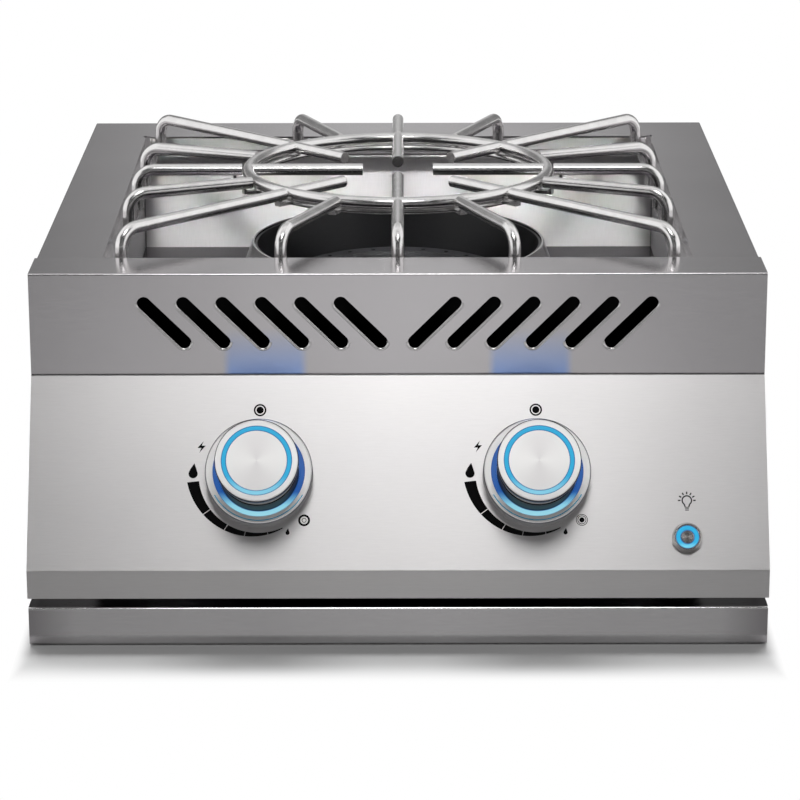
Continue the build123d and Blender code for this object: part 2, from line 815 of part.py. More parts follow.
# Male inlet fitting, screwed up against the rear wall
inlet_start = Plane(origin=(pipe_right_x, box_half - sheet, pipe_z), x_dir=(1, 0, 0), z_dir=(0, 1, 0))
with BuildPart() as inlet_fitting:
    with BuildSketch(inlet_start):
        Circle(inlet_neck_radius)
    extrude(amount=2 * sheet)
    with BuildSketch(inlet_start.offset(2 * sheet)):
        RegularPolygon(inlet_hex / 2, 6, major_radius=False)
    extrude(amount=inlet_hex_length)
    with BuildSketch(inlet_start.offset(2 * sheet + inlet_hex_length)):
        Circle(inlet_thread_radius)
    extrude(amount=inlet_thread_length)
    with BuildSketch(inlet_start):
        Circle(inlet_bore_radius)
    extrude(amount=2 * sheet + inlet_hex_length + inlet_thread_length, mode=Mode.SUBTRACT)
save(inlet_fitting, "inlet_fitting")

# Valve bracket: a channel between the side walls, parallel to the panel
bracket_half = box_half - seat_gap
with BuildPart() as valve_bracket:
    with BuildSketch(panel_plane(0, knob_along, -valve_front)):
        Rectangle(2 * bracket_half, bracket_height)
        with Locations((-knob_x, 0), (knob_x, 0)):
            Circle(valve_nose_radius + screw_hole_gap, mode=Mode.SUBTRACT)
    extrude(amount=sheet)
    with BuildSketch(panel_plane(0, knob_along, -valve_front)):
        for edge in (-1, 1):
            with Locations((0, edge * (bracket_height - sheet) / 2)):
                Rectangle(2 * bracket_half, sheet)
    extrude(amount=-bracket_flange)
save(valve_bracket, "valve_bracket")


# Gas valve: body with nose, outlet and inlet, and a tapered plug turning in it
def valve_body(x):
    frame = control_plane(x, knob_along)
    centre = (x, outlet_y, outlet_z)
    stem_bore = stem_radius + running_gap
    plug_hole_front = plug_front_radius + running_gap
    plug_hole_back = plug_back_radius + running_gap
    with BuildPart() as body:
        with BuildSketch(frame):
            with BuildLine():
                Polyline(
                    (0, -valve_nose_front),
                    (valve_nose_radius, -valve_nose_front),
                    (valve_nose_radius, -valve_front),
                    (valve_radius, -valve_front),
                    (valve_radius, -valve_back),
                    (0, -valve_back),
                    close=True,
                )
            make_face()
        revolve(axis=Axis(frame.origin, frame.y_dir))
        with BuildSketch(Plane(origin=centre, z_dir=(0, 1, 0))):
            Circle(outlet_radius)
        extrude(amount=outlet_length)
        with BuildSketch(Plane(origin=centre, z_dir=(0, 0, -1))):
            Circle(inlet_radius)
        extrude(amount=pipe_below_valve)
        with BuildSketch(Plane(origin=(x - 2 * inlet_radius, outlet_y, pipe_z), z_dir=(1, 0, 0))):
            Circle(pipe_radius + weld_gap)
        extrude(amount=4 * inlet_radius, mode=Mode.SUBTRACT)
        with BuildSketch(Plane(origin=(x, outlet_end_y, outlet_z), z_dir=(0, -1, 0))):
            Circle(orifice_seat_radius)
        extrude(amount=orifice_seat_depth, mode=Mode.SUBTRACT)
        with BuildSketch(frame):
            with BuildLine():
                Polyline(
                    (0, -valve_nose_front),
                    (stem_bore, -valve_nose_front),
                    (stem_bore, -plug_front),
                    (plug_hole_front, -plug_front),
                    (plug_hole_back, -plug_back),
                    (0, -plug_back),
                    close=True,
                )
            make_face()
        revolve(axis=Axis(frame.origin, frame.y_dir), mode=Mode.SUBTRACT)
    return body


def valve_plug(x):
    return turned(
        control_plane(x, knob_along),
        [
            (0, -plug_back + plug_end_gap),
            (plug_back_radius, -plug_back + plug_end_gap),
            (plug_front_radius, -plug_front - plug_end_gap),
            (stem_tail_radius + running_gap, -plug_front - plug_end_gap),
            (stem_tail_radius + running_gap, -plug_bore_end),
            (0, -plug_bore_end),
        ],
    )


def orifice(x):
    seat = Plane(origin=(x, outlet_end_y, outlet_z), x_dir=(1, 0, 0), z_dir=(0, 1, 0))
    with BuildPart() as nozzle:
        with BuildSketch(seat):
            RegularPolygon(orifice_hex / 2, 6, major_radius=False)
        extrude(amount=orifice_hex_length)
        with BuildSketch(seat):
            Circle(orifice_seat_radius)
        extrude(amount=-orifice_seat_depth)
        with BuildSketch(seat.offset(orifice_hex_length)):
            Circle(orifice_tip_radius)
        extrude(amount=orifice_tip_length)
        with BuildSketch(seat.offset(-orifice_seat_depth)):
            Circle(orifice_jet_radius)
        extrude(amount=orifice_seat_depth + orifice_hex_length + orifice_tip_length, mode=Mode.SUBTRACT)
    return nozzle


# Knob: stem, skirt with a socket for the stem, metal cap and the lit ring in its face
cap_back = knob_face - cap_thickness
skirt_lift = bezel_floor + knob_push + push_spare
stem_tail_end = plug_bore_end - knob_push - push_spare
stem_shoulder = plug_front + plug_end_gap - knob_push - push_spare
hub_end = skirt_top - skirt_wall
hub_radius = stem_radius + hub_wall


def valve_stem(x):
    return turned(
        control_plane(x, knob_along),
        [
            (0, -stem_tail_end),
            (stem_tail_radius, -stem_tail_end),
            (stem_tail_radius, -stem_shoulder),
            (stem_radius, -stem_shoulder),
            (stem_radius, hub_end),
            (0, hub_end),
        ],
    )


def knob_skirt(x):
    return turned(
        control_plane(x, knob_along),
        [
            (stem_radius, skirt_lift),
            (hub_radius, skirt_lift),
            (hub_radius, skirt_top - 2 * skirt_wall),
            (skirt_radius - skirt_wall, skirt_top - 2 * skirt_wall),
            (skirt_radius - skirt_wall, skirt_lift),
            (skirt_radius, skirt_lift),
            (skirt_radius, skirt_top),
            (0, skirt_top),
            (0, hub_end),
            (stem_radius, hub_end),
        ],
    )


def knob_cap(x):
    return turned(
        control_plane(x, knob_along),
        [
            (0, skirt_top),
            (cap_neck_radius, skirt_top),
            (cap_neck_radius, cap_back),
            (cap_radius, cap_back + cap_edge),
            (cap_radius, knob_face - cap_edge),
            (cap_radius - cap_edge, knob_face),
            (face_ring_outer, knob_face),
            (face_ring_outer, knob_face - face_ring_depth),
            (face_ring_inner, knob_face - face_ring_depth),
            (face_ring_inner, knob_face),
            (0, knob_face),
        ],
    )


def knob_light_ring(x):
    return turned(
        control_plane(x, knob_along),
        [
            (face_ring_inner, knob_face - face_ring_depth),
            (face_ring_outer, knob_face - face_ring_depth),
            (face_ring_outer, knob_face),
            (face_ring_inner, knob_face),
        ],
    )


# Bezel: a turned ring with a spigot through the panel, and a lit ring set into it
def bezel(x):
    return turned(
        control_plane(x, knob_along),
        [
            (valve_nose_radius, -bezel_spigot_length),
            (bezel_spigot_radius, -bezel_spigot_length),
            (bezel_spigot_radius, 0),
            (bezel_radius, 0),
            (bezel_radius, bezel_height - bezel_edge),
            (bezel_radius - bezel_edge, bezel_height),
            (bezel_inner_radius, bezel_height),
            (bezel_inner_radius, bezel_floor),
            (valve_nose_radius, bezel_floor),
        ],
    )


def bezel_light_ring(x):
    ring_top = bezel_height - light_ring_recess
    ring_inner_radius = skirt_radius + seat_gap
    return turned(
        control_plane(x, knob_along),
        [
            (ring_inner_radius, ring_top - light_ring_depth),
            (bezel_inner_radius, ring_top - light_ring_depth),
            (bezel_inner_radius, ring_top),
            (ring_inner_radius, ring_top),
        ],
    )


for side, x in (("left", -knob_x), ("right", knob_x)):
    save(valve_body(x), f"valve_body_{side}")
    save(valve_plug(x), f"valve_plug_{side}")
    save(orifice(x), f"orifice_{side}")
    save(valve_stem(x), f"valve_stem_{side}")
    save(knob_skirt(x), f"knob_skirt_{side}")
    save(knob_cap(x), f"knob_cap_{side}")
    save(knob_light_ring(x), f"knob_light_ring_{side}")
    save(bezel(x), f"bezel_{side}")
    save(bezel_light_ring(x), f"bezel_light_ring_{side}")

# Light switch: a threaded body with a collar, a lit ring, a button and a rear nut
switch = control_plane(switch_x, switch_along)
switch_bore = switch_button_radius + running_gap
switch_floor = -switch_button_length - switch_push - sheet
switch_body = turned(
    switch,
    [
        (0, -switch_body_length),
        (switch_body_radius, -switch_body_length),
        (switch_body_radius, 0),
        (switch_flange_radius, 0),
        (switch_flange_radius, switch_flange_height),
        (switch_collar_radius, switch_face),
        (switch_ring_outer, switch_face),
        (switch_ring_outer, switch_face - switch_ring_depth),
        (switch_bore, switch_face - switch_ring_depth),
        (switch_bore, switch_floor),
        (0, switch_floor),
    ],
)
save(switch_body, "switch_body")

switch_light_ring = turned(
    switch,
    [
        (switch_ring_inner, switch_face - switch_ring_depth),
        (switch_ring_outer, switch_face - switch_ring_depth),
        (switch_ring_outer, switch_face),
        (switch_ring_inner, switch_face),
    ],
)
save(switch_light_ring, "switch_light_ring")

switch_button = turned(
    switch,
    [
        (0, switch_face - switch_button_length),
        (switch_button_radius, switch_face - switch_button_length),
        (switch_button_radius, switch_face),
        (0, switch_face),
    ],
)
save(switch_button, "switch_button")

with BuildPart() as switch_nut:
    with BuildSketch(panel_plane(switch_x, switch_along, -sheet)):
        RegularPolygon(switch_nut_radius, 6)
        Circle(switch_body_radius, mode=Mode.SUBTRACT)
    extrude(amount=-switch_nut_length)
save(switch_nut, "switch_nut")

# Spark module on the right wall, and an electrode beside each burner
with BuildPart() as spark_module:
    with BuildSketch(Plane.YZ.offset(box_half - spark_box_width)):
        with Locations((spark_box_y, spark_box_z)):
            RectangleRounded(spark_box_depth, spark_box_height, sheet, align=(Align.CENTER, Align.MIN))
    extrude(amount=spark_box_width)
save(spark_module, "spark_module")


def electrode(radius, angle):
    place = (radius * cos(angle), radius * sin(angle), bowl_floor_z)
    return turned(
        Plane(origin=place, x_dir=(1, 0, 0), z_dir=(0, -1, 0)),
        [
            (0, 0),
            (electrode_radius, 0),
            (electrode_radius, electrode_height),
            (electrode_pin_radius, electrode_height),
            (electrode_pin_radius, electrode_height + electrode_pin_height),
            (0, electrode_height + electrode_pin_height),
        ],
    )


electrode_turn = electrode_angle * pi / 180
save(electrode(ring_electrode_radius, pi - electrode_turn), "ring_electrode")
save(electrode(head_electrode_radius, electrode_turn), "inner_electrode")

# Drip tray: a floor with walls spot-welded round it, a rim along each side and a folded front
tray_low_z = sheet + tray_floor_gap
tray_top_z = tray_low_z + tray_height
tray_front_y = lip_y + tray_front_setback
tray_pan_front_y = tray_front_y + sheet
tray_depth = tray_rear_y - tray_pan_front_y
with BuildPart() as tray_pan:
    with BuildSketch(Plane.XY.offset(tray_low_z)):
        with Locations((0, tray_pan_front_y)):
            Rectangle(2 * tray_half, tray_depth, align=(Align.CENTER, Align.MIN))
    extrude(amount=sheet)
save(tray_pan, "tray_pan")

tray_wall_height = tray_height - 2 * sheet - 2 * weld_gap
with BuildPart() as tray_walls:
    with BuildSketch(Plane.XY.offset(tray_low_z + sheet + weld_gap)):
        with Locations((-tray_half, tray_pan_front_y)):
            Rectangle(sheet, tray_depth, align=(Align.MIN, Align.MIN))
        with Locations((tray_half, tray_pan_front_y)):
            Rectangle(sheet, tray_depth, align=(Align.MAX, Align.MIN))
        with Locations((0, tray_pan_front_y)):
            Rectangle(2 * (tray_half - sheet - weld_gap), sheet, align=(Align.CENTER, Align.MIN))
        with Locations((0, tray_rear_y)):
            Rectangle(2 * (tray_half - sheet - weld_gap), sheet, align=(Align.CENTER, Align.MAX))
    extrude(amount=tray_wall_height)
save(tray_walls, "tray_walls")

with BuildPart() as tray_rims:
    with BuildSketch(Plane.XY.offset(tray_top_z)):
        with Locations((-tray_half - tray_rim, tray_pan_front_y)):
            Rectangle(tray_rim + sheet, tray_depth, align=(Align.MIN, Align.MIN))
        with Locations((tray_half + tray_rim, tray_pan_front_y)):
            Rectangle(tray_rim + sheet, tray_depth, align=(Align.MAX, Align.MIN))
    extrude(amount=-sheet)
save(tray_rims, "tray_rims")

tray_front_half = body_width / 2
with BuildPart() as tray_front:
    with BuildSketch(Plane.YZ):
        with BuildLine():
            Polyline(
                (tray_front_y + tray_front_return, tray_front_lift + tray_front_height - sheet),
                (tray_front_y + sheet, tray_front_lift + tray_front_height - sheet),
                (tray_front_y + sheet, tray_front_lift + sheet),
                (tray_front_y + tray_front_return, tray_front_lift + sheet),
            )
            offset(amount=sheet, kind=Kind.ARC, side=Side.RIGHT, closed=True)
        make_face()
    extrude(amount=tray_front_half, both=True)
    for end_x in (-tray_front_half, tray_front_half - sheet):
        end_depth = tray_front_return - sheet
        end_height = tray_front_height - 2 * sheet
        with BuildSketch(Plane.YZ.offset(end_x)):
            with Locations((tray_front_y + sheet, tray_front_lift + sheet)):
                Rectangle(end_depth, end_height, align=(Align.MIN, Align.MIN))
        extrude(amount=sheet)
save(tray_front, "tray_front")

# Tray runners: angles on the base pan's sides, just under the tray's rims
runner_top_z = tray_top_z - sheet - seat_gap
runner_outer = box_inner
runner_inner = tray_half + runner_side_gap
with BuildPart() as tray_runner_right:
    with BuildSketch(Plane.XZ.offset(axis_setback)):
        with BuildLine():
            Polyline(
                (runner_inner, runner_top_z),
                (runner_outer, runner_top_z),
                (runner_outer, sheet),
                (runner_outer - sheet, sheet),
                (runner_outer - sheet, runner_top_z - sheet),
                (runner_inner, runner_top_z - sheet),
                close=True,
            )
        make_face()
    extrude(amount=-base_depth + sheet)
save(tray_runner_right, "tray_runner_right")
save(mirrored(tray_runner_right), "tray_runner_left")
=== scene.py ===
import math
import bmesh
import bpy
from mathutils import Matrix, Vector


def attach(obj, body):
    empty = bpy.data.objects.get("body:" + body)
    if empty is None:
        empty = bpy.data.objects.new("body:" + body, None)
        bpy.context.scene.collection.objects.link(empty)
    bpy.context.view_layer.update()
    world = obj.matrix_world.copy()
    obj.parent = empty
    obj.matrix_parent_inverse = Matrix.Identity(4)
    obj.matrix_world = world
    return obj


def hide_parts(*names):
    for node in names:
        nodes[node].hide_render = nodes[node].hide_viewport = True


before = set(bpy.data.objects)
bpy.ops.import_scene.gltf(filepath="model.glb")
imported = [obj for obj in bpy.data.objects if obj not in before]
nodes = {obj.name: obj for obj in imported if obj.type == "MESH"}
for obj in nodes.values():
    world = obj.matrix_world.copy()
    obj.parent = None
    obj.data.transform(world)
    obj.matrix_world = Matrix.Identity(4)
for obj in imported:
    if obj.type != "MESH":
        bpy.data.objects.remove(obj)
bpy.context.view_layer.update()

scene = bpy.context.scene
scene.view_settings.view_transform = "Standard"
mm = 0.001
print("frame loaded:", len(nodes), "nodes")


# Small helpers

def linear(hexColour):
    parts = [int(hexColour[i:i + 2], 16) / 255 for i in (1, 3, 5)]
    return [p / 12.92 if p <= 0.04045 else ((p + 0.055) / 1.055) ** 2.4 for p in parts] + [1.0]


def addNode(tree, kind, inputs=None, **settings):
    node = tree.nodes.new(kind)
    for name, value in settings.items():
        setattr(node, name, value)
    for key, value in (inputs or {}).items():
        if isinstance(value, bpy.types.NodeSocket):
            tree.links.new(value, node.inputs[key])
        else:
            node.inputs[key].default_value = value
    return node


def reckon(tree, operation, *values):
    return addNode(tree, "ShaderNodeMath", dict(enumerate(values)), operation=operation).outputs[0]


def remap(tree, value, fromRange=(0.0, 1.0), toRange=(0.0, 1.0), shape="LINEAR"):
    ends = {"From Min": fromRange[0], "From Max": fromRange[1], "To Min": toRange[0], "To Max": toRange[1]}
    return addNode(tree, "ShaderNodeMapRange", {"Value": value, **ends}, interpolation_type=shape).outputs[0]


def mixColour(tree, share, under, over):
    return addNode(tree, "ShaderNodeMix", {0: share, 6: under, 7: over}, data_type="RGBA").outputs[2]


def objectPlace(tree):
    return addNode(tree, "ShaderNodeTexCoord").outputs["Object"]


def objectParts(tree):
    return addNode(tree, "ShaderNodeSeparateXYZ", {0: objectPlace(tree)}).outputs


def noise(tree, size, detail):
    return addNode(tree, "ShaderNodeTexNoise", {"Vector": objectPlace(tree), "Scale": 1 / (size * mm),
                                                "Detail": detail}).outputs["Fac"]


def addBump(tree, shader, height, strength, depth):
    bump = addNode(tree, "ShaderNodeBump", {"Height": height, "Strength": strength, "Distance": depth * mm})
    tree.links.new(bump.outputs[0], shader.inputs["Normal"])


def newMaterial(name, metallic=0.0, roughness=0.4):
    material = bpy.data.materials.new(name)
    material.use_nodes = True
    tree = material.node_tree
    shader = tree.nodes["Principled BSDF"]
    shader.inputs["Metallic"].default_value = metallic
    shader.inputs["Roughness"].default_value = roughness
    return material, tree, shader


def opened(material):
    return material.node_tree, material.node_tree.nodes["Principled BSDF"]


# Each of these lays a second look over a finished material, where share is 1

def repaint(material, share, hexColour):
    tree, shader = opened(material)
    bare = shader.inputs["Base Color"].links[0].from_socket
    tree.links.new(mixColour(tree, share, bare, linear(hexColour)), shader.inputs["Base Color"])


def resmooth(material, share, roughness):
    tree, shader = opened(material)
    brushed = shader.inputs["Roughness"].links[0].from_socket
    smooth = addNode(tree, "ShaderNodeMix", {0: share, 2: brushed, 3: roughness}, data_type="FLOAT")
    tree.links.new(smooth.outputs[0], shader.inputs["Roughness"])


def remetal(material, share, metallic):
    tree, shader = opened(material)
    plain = shader.inputs["Metallic"].default_value
    tree.links.new(remap(tree, share, toRange=(plain, metallic)), shader.inputs["Metallic"])


def finishNodes(material, *names):
    for name in names:
        slots = nodes[name].data.materials
        slots.clear()
        slots.append(material)


def newPiece(name, mesh, body, slot, *replaced):
    mesh.name = name
    piece = bpy.data.objects.new(name, mesh)
    scene.collection.objects.link(piece)
    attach(piece, body)
    if replaced:
        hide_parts(*replaced)


def meshOf(shape, name):
    mesh = bpy.data.meshes.new(name)
    shape.to_mesh(mesh)
    shape.free()
    return mesh


# The sloping panel's own frame, as the solids have it

panelShape = {"topY": -226.0, "topZ": 158.1, "reach": 61.0, "drop": 108.0}
slope = math.atan2(panelShape["reach"], panelShape["drop"])
panelOut = Vector((0, -math.cos(slope), math.sin(slope)))
panelUp = Vector((0, math.sin(slope), math.cos(slope)))
panelOrigin = Vector((0, panelShape["topY"], panelShape["topZ"]))
knobSpot = {"x": 85.7, "along": 63.7}
switchSpot = {"x": 178.0, "along": 104.0}


def onPanel(x, along, out=0.0):
    return (panelOrigin + Vector((x, 0, 0)) - panelUp * along + panelOut * out) * mm


# Camera at the photograph's angle

cameraSpot = {"x": 2.3, "y": -2142.0, "z": 715.1, "pitch": 16.668, "roll": 0.1, "lens": 144.03, "sensor": 36}
cameraData = bpy.data.cameras.new("camera")
cameraData.lens = cameraSpot["lens"]
cameraData.sensor_width = cameraSpot["sensor"]
camera = bpy.data.objects.new("camera", cameraData)
camera.location = (cameraSpot["x"] * mm, cameraSpot["y"] * mm, cameraSpot["z"] * mm)
camera.rotation_euler = (math.radians(90 - cameraSpot["pitch"]), math.radians(cameraSpot["roll"]), 0)
scene.collection.objects.link(camera)
scene.camera = camera


# Studio: a white world, a white floor, three lamps, and graded boards that show only in reflections.
# Its sizes are in metres.

studio = {"worldLevel": 0.2, "floorSize": 14.0, "floorDrop": 0.0002, "floorColour": "#f6f6f6",
          "shadeSide": 0.226, "sideEdge": 0.01, "shadeFront": 0.312, "shadeRear": 0.26, "frontEdge": 0.035}
white, black = linear("#ffffff"), linear("#000000")


def firstSight(tree):
    # 1 for what is seen or mirrored, 0 for light that a dull surface has already scattered
    rays = addNode(tree, "ShaderNodeLightPath").outputs
    return reckon(tree, "LESS_THAN", rays["Diffuse Depth"], 0.5)


world = bpy.data.worlds.new("studio")
world.use_nodes = True
scene.world = world
tree = world.node_tree
tree.nodes.clear()
rays = addNode(tree, "ShaderNodeLightPath").outputs
seen = reckon(tree, "MAXIMUM", rays["Is Camera Ray"], rays["Is Glossy Ray"])
passed = reckon(tree, "MAXIMUM", seen, rays["Is Transmission Ray"])
dimSky = addNode(tree, "ShaderNodeBackground", {"Color": white, "Strength": studio["worldLevel"]})
whiteSky = addNode(tree, "ShaderNodeBackground", {"Color": white, "Strength": 1.0})
sky = addNode(tree, "ShaderNodeMixShader", {0: reckon(tree, "MULTIPLY", passed, firstSight(tree)),
                                            1: dimSky.outputs[0], 2: whiteSky.outputs[0]})
addNode(tree, "ShaderNodeOutputWorld", {"Surface": sky.outputs[0]})


def stagePlane(name, centre, facing, size, material):
    mesh = bpy.data.meshes.new(name)
    w, h = size[0] / 2, size[1] / 2
    mesh.from_pydata([(-w, -h, 0), (w, -h, 0), (w, h, 0), (-w, h, 0)], [], [(0, 1, 2, 3)])
    mesh.materials.append(material)
    plane = bpy.data.objects.new(name, mesh)
    plane.location = centre
    plane.rotation_euler = Vector((0, 0, 1)).rotation_difference(Vector(facing)).to_euler()
    scene.collection.objects.link(plane)
    return plane


# The floor is lit near the object, so it keeps the shadow, and glows white farther off

floorPaint, tree, shader = newMaterial("white studio floor", roughness=0.9)
shader.inputs["Specular IOR Level"].default_value = 0.0
parts = objectParts(tree)
pastSide = reckon(tree, "SUBTRACT", reckon(tree, "ABSOLUTE", parts["X"]), studio["shadeSide"])
pastFront = reckon(tree, "SUBTRACT", -studio["shadeFront"], parts["Y"])
pastRear = reckon(tree, "SUBTRACT", parts["Y"], studio["shadeRear"])
pastEnds = reckon(tree, "MAXIMUM", pastFront, pastRear)
farAside = remap(tree, pastSide, (0.0, studio["sideEdge"]), shape="SMOOTHSTEP")
farOut = remap(tree, pastEnds, (0.0, studio["frontEdge"]), shape="SMOOTHSTEP")
glowing = reckon(tree, "MULTIPLY", reckon(tree, "MAXIMUM", farAside, farOut), firstSight(tree))
nearPaint = mixColour(tree, glowing, linear(studio["floorColour"]), black)
tree.links.new(nearPaint, shader.inputs["Base Color"])
shader.inputs["Emission Color"].default_value = white
tree.links.new(glowing, shader.inputs["Emission Strength"])
floorSize = (studio["floorSize"], studio["floorSize"])
stagePlane("floor", (0, 0, -studio["floorDrop"]), (0, 0, 1), floorSize, floorPaint)

# The boards, all but the even key, are brightest on the middle line, so the sheets fall off to their ends

boards = {
    "near": {"at": (0, -0.445, 0.004), "facing": (0, 0, 1), "size": (4.0, 0.31),
             "middle": 0.41, "ends": 0.26, "half": 0.4},
    "low": {"at": (0, -1.275, 0.004), "facing": (0, 0, 1), "size": (4.0, 1.35),
            "middle": 0.70, "ends": 0.20, "half": 0.45},
    "behind camera": {"at": (0, -2.7, 1.03), "facing": (0, 1, 0), "size": (4.0, 2.06),
                      "middle": 0.12, "ends": 0.05, "half": 0.6},
    "front": {"at": (0, -1.44, 1.587), "facing": (0, 0.623, -0.783), "size": (4.0, 0.86),
              "middle": 0.3, "ends": 0.0, "half": 0.5},
    "key": {"at": (0.025, -1.236, 1.61), "facing": (0, 0.545, -0.839), "size": (0.64, 0.49),
            "middle": 7.2, "ends": 7.2, "half": 1.0},
    "rear": {"at": (0, 1.5, 0.8), "facing": (0, -1, 0), "size": (4.0, 1.5),
             "middle": 0.56, "ends": 0.20, "half": 0.55},
    "top": {"at": (0, 0.1, 2.3), "facing": (0, 0, -1), "size": (4.0, 2.4),
            "middle": 0.95, "ends": 0.6, "half": 0.8},
}
for name, board in boards.items():
    card, tree, shader = newMaterial(f"graded board {name}", roughness=1.0)
    shader.inputs["Base Color"].default_value = black
    shader.inputs["Specular IOR Level"].default_value = 0.0
    aside = reckon(tree, "ABSOLUTE", objectParts(tree)["X"])
    fall = remap(tree, aside, (0.0, board["half"]), (board["middle"], board["ends"]), "SMOOTHSTEP")
    shader.inputs["Emission Color"].default_value = white
    tree.links.new(reckon(tree, "MULTIPLY", fall, firstSight(tree)), shader.inputs["Emission Strength"])
    plane = stagePlane(f"board {name}", board["at"], board["facing"], board["size"], card)
    plane.visible_camera = False
    plane.visible_diffuse = False
    plane.visible_transmission = False
    plane.visible_shadow = False

# The lamps light what is dull: the plain surfaces, the well and the floor

lamps = {
    "overhead": {"at": (0.0, 0.6, 2.1), "aim": (0, -0.15, 0.1), "size": (1.6, 1.0),
                 "power": 46, "spread": 180},
    "fill": {"at": (0.0, -1.9, 1.7), "aim": (0, -0.25, 0.1), "size": (1.6, 1.0),
             "power": 6, "spread": 180},
    "well": {"at": (0.0, -0.75, 1.25), "aim": (0, 0.16, 0.18), "size": (0.4, 0.15),
             "power": 1.0, "spread": 22},
}
for name, lamp in lamps.items():
    data = bpy.data.lights.new(name, "AREA")
    data.shape = "RECTANGLE"
    data.size, data.size_y = lamp["size"]
    data.energy = lamp["power"]
    data.spread = math.radians(lamp["spread"])
    light = bpy.data.objects.new(name, data)
    light.location = lamp["at"]
    light.rotation_euler = (Vector(lamp["aim"]) - Vector(lamp["at"])).to_track_quat("-Z", "Y").to_euler()
    light.visible_glossy = False
    scene.collection.objects.link(light)
print("studio ready")


# Stainless sheet, cold rolled and brushed along its length: fine pale lines and a soft broad sheen.
# Real brush lines are about 0.1 mm wide, so they are drawn 0.6 mm wide to show at all.

brushing = {"lineWidth": 0.6, "lineLength": 9.0, "lineDetail": 3.0, "lineShare": 0.6, "cloudSize": 140.0,
            "cloudDetail": 2.0, "blendRange": (0.5, 1.1), "roughRange": (0.3, 0.7), "roughSpread": 0.03,
            "bumpStrength": 0.5, "lineDepth": 0.003}


def brushedSteel(name, pale, dark, roughness, along="X", metallic=1.0):
    material, tree, shader = newMaterial(name, metallic=metallic, roughness=roughness)
    fine = 1 / (brushing["lineWidth"] * mm)
    far = 1 / (brushing["lineLength"] * mm)
    scale = {"X": (far, fine, fine), "Z": (fine, fine, far)}[along]
    stretch = addNode(tree, "ShaderNodeMapping", {"Vector": objectPlace(tree), "Scale": scale})
    lines = addNode(tree, "ShaderNodeTexNoise", {"Vector": stretch.outputs[0], "Scale": 1.0,
                                                 "Detail": brushing["lineDetail"]}).outputs["Fac"]
    clouds = noise(tree, brushing["cloudSize"], brushing["cloudDetail"])
    blend = reckon(tree, "MULTIPLY_ADD", lines, brushing["lineShare"], clouds)
    colour = mixColour(tree, remap(tree, blend, brushing["blendRange"]), linear(dark), linear(pale))
    tree.links.new(colour, shader.inputs["Base Color"])
    spread = brushing["roughSpread"]
    rough = remap(tree, lines, brushing["roughRange"], (roughness - spread, roughness + spread))
    tree.links.new(rough, shader.inputs["Roughness"])
    addBump(tree, shader, lines, brushing["bumpStrength"], brushing["lineDepth"])
    return material


fasciaSteel = brushedSteel("brushed stainless front", "#d6d3d5", "#c8c5c7", 0.24)
panelSteel = brushedSteel("brushed stainless panel", "#dcdada", "#d2d0d0", 0.4)
deckSteel = brushedSteel("brushed stainless deck", "#d2cfd1", "#c2bfc1", 0.22)
wellSteel = brushedSteel("satin stainless well", "#f4f2f3", "#e8e6e7", 0.4, along="Z", metallic=0.5)
# The well floor's dark colour is painted shade
floorSteel = brushedSteel("stainless floor darkened as painted shade", "#6a666b", "#565257", 0.2)
guardSteel = brushedSteel("satin stainless cone", "#e6e5e5", "#d0cfcf", 0.16, along="Z")
boxSteel = brushedSteel("plain stainless box", "#c4c3c3", "#b0afaf", 0.36)
traySteel = brushedSteel("brushed stainless tray front", "#d6d4d5", "#c8c6c7", 0.24)
frontWallSteel = brushedSteel("stainless behind the slots", "#ebe9ea", "#dbd9da", 0.34, along="Z",
                              metallic=0.85)
finishNodes(fasciaSteel, "vent_fascia")
finishNodes(traySteel, "tray_front")
finishNodes(panelSteel, "control_panel")
finishNodes(deckSteel, "top_deck")
finishNodes(wellSteel, "rear_wall", "side_wall_left", "side_wall_right")
finishNodes(frontWallSteel, "front_wall")
finishNodes(floorSteel, "well_floor")
finishNodes(guardSteel, "flame_guard")
finishNodes(boxSteel, "base_pan", "tray_pan", "tray_walls", "tray_rims", "tray_runner_left",
            "tray_runner_right", "valve_bracket")

# The walls are satin only inside: their outer faces are plain mill sheet, greyer

outerSkin = {"x": max(corner[0] for corner in nodes["side_wall_right"].bound_box),
             "y": max(corner[1] for corner in nodes["rear_wall"].bound_box), "depth": 0.3, "hex": "#b5b4b4"}
tree = wellSteel.node_tree
parts = objectParts(tree)
aside = reckon(tree, "ABSOLUTE", parts["X"])
atSide = reckon(tree, "GREATER_THAN", aside, outerSkin["x"] - outerSkin["depth"] * mm)
atRear = reckon(tree, "GREATER_THAN", parts["Y"], outerSkin["y"] - outerSkin["depth"] * mm)
outer = reckon(tree, "MAXIMUM", atSide, atRear)
repaint(wellSteel, outer, outerSkin["hex"])
remetal(wellSteel, outer, 1.0)

# The front wall's sheet is painted black on both sides as painted shade, so the slots before it look dark;
# only its lip is bare

frontWallBox = nodes["front_wall"].bound_box
paintedShadeSheet = {"behindY": (frontWallBox[0][1] + frontWallBox[6][1]) / 2, "hex": "#060607"}
tree = frontWallSteel.node_tree
sheet = reckon(tree, "LESS_THAN", objectParts(tree)["Y"], paintedShadeSheet["behindY"])
# Painted shade: the black stands in for the shade behind the slots
repaint(frontWallSteel, sheet, paintedShadeSheet["hex"])

# The upright step round the deck's opening is satin, so it takes the light that falls into the well

deckStep = {"middleZ": 216.3, "halfHeight": 4.4, "within": 200.0, "hex": "#cfcdce", "metallic": 0.5}
tree = deckSteel.node_tree
parts = objectParts(tree)
reach = reckon(tree, "MAXIMUM", reckon(tree, "ABSOLUTE", parts["X"]), reckon(tree, "ABSOLUTE", parts["Y"]))
inside = reckon(tree, "LESS_THAN", reach, deckStep["within"] * mm)
upright = reckon(tree, "COMPARE", parts["Z"], deckStep["middleZ"] * mm, deckStep["halfHeight"] * mm)
step = reckon(tree, "MULTIPLY", inside, upright)
repaint(deckSteel, step, deckStep["hex"])
remetal(deckSteel, step, deckStep["metallic"])
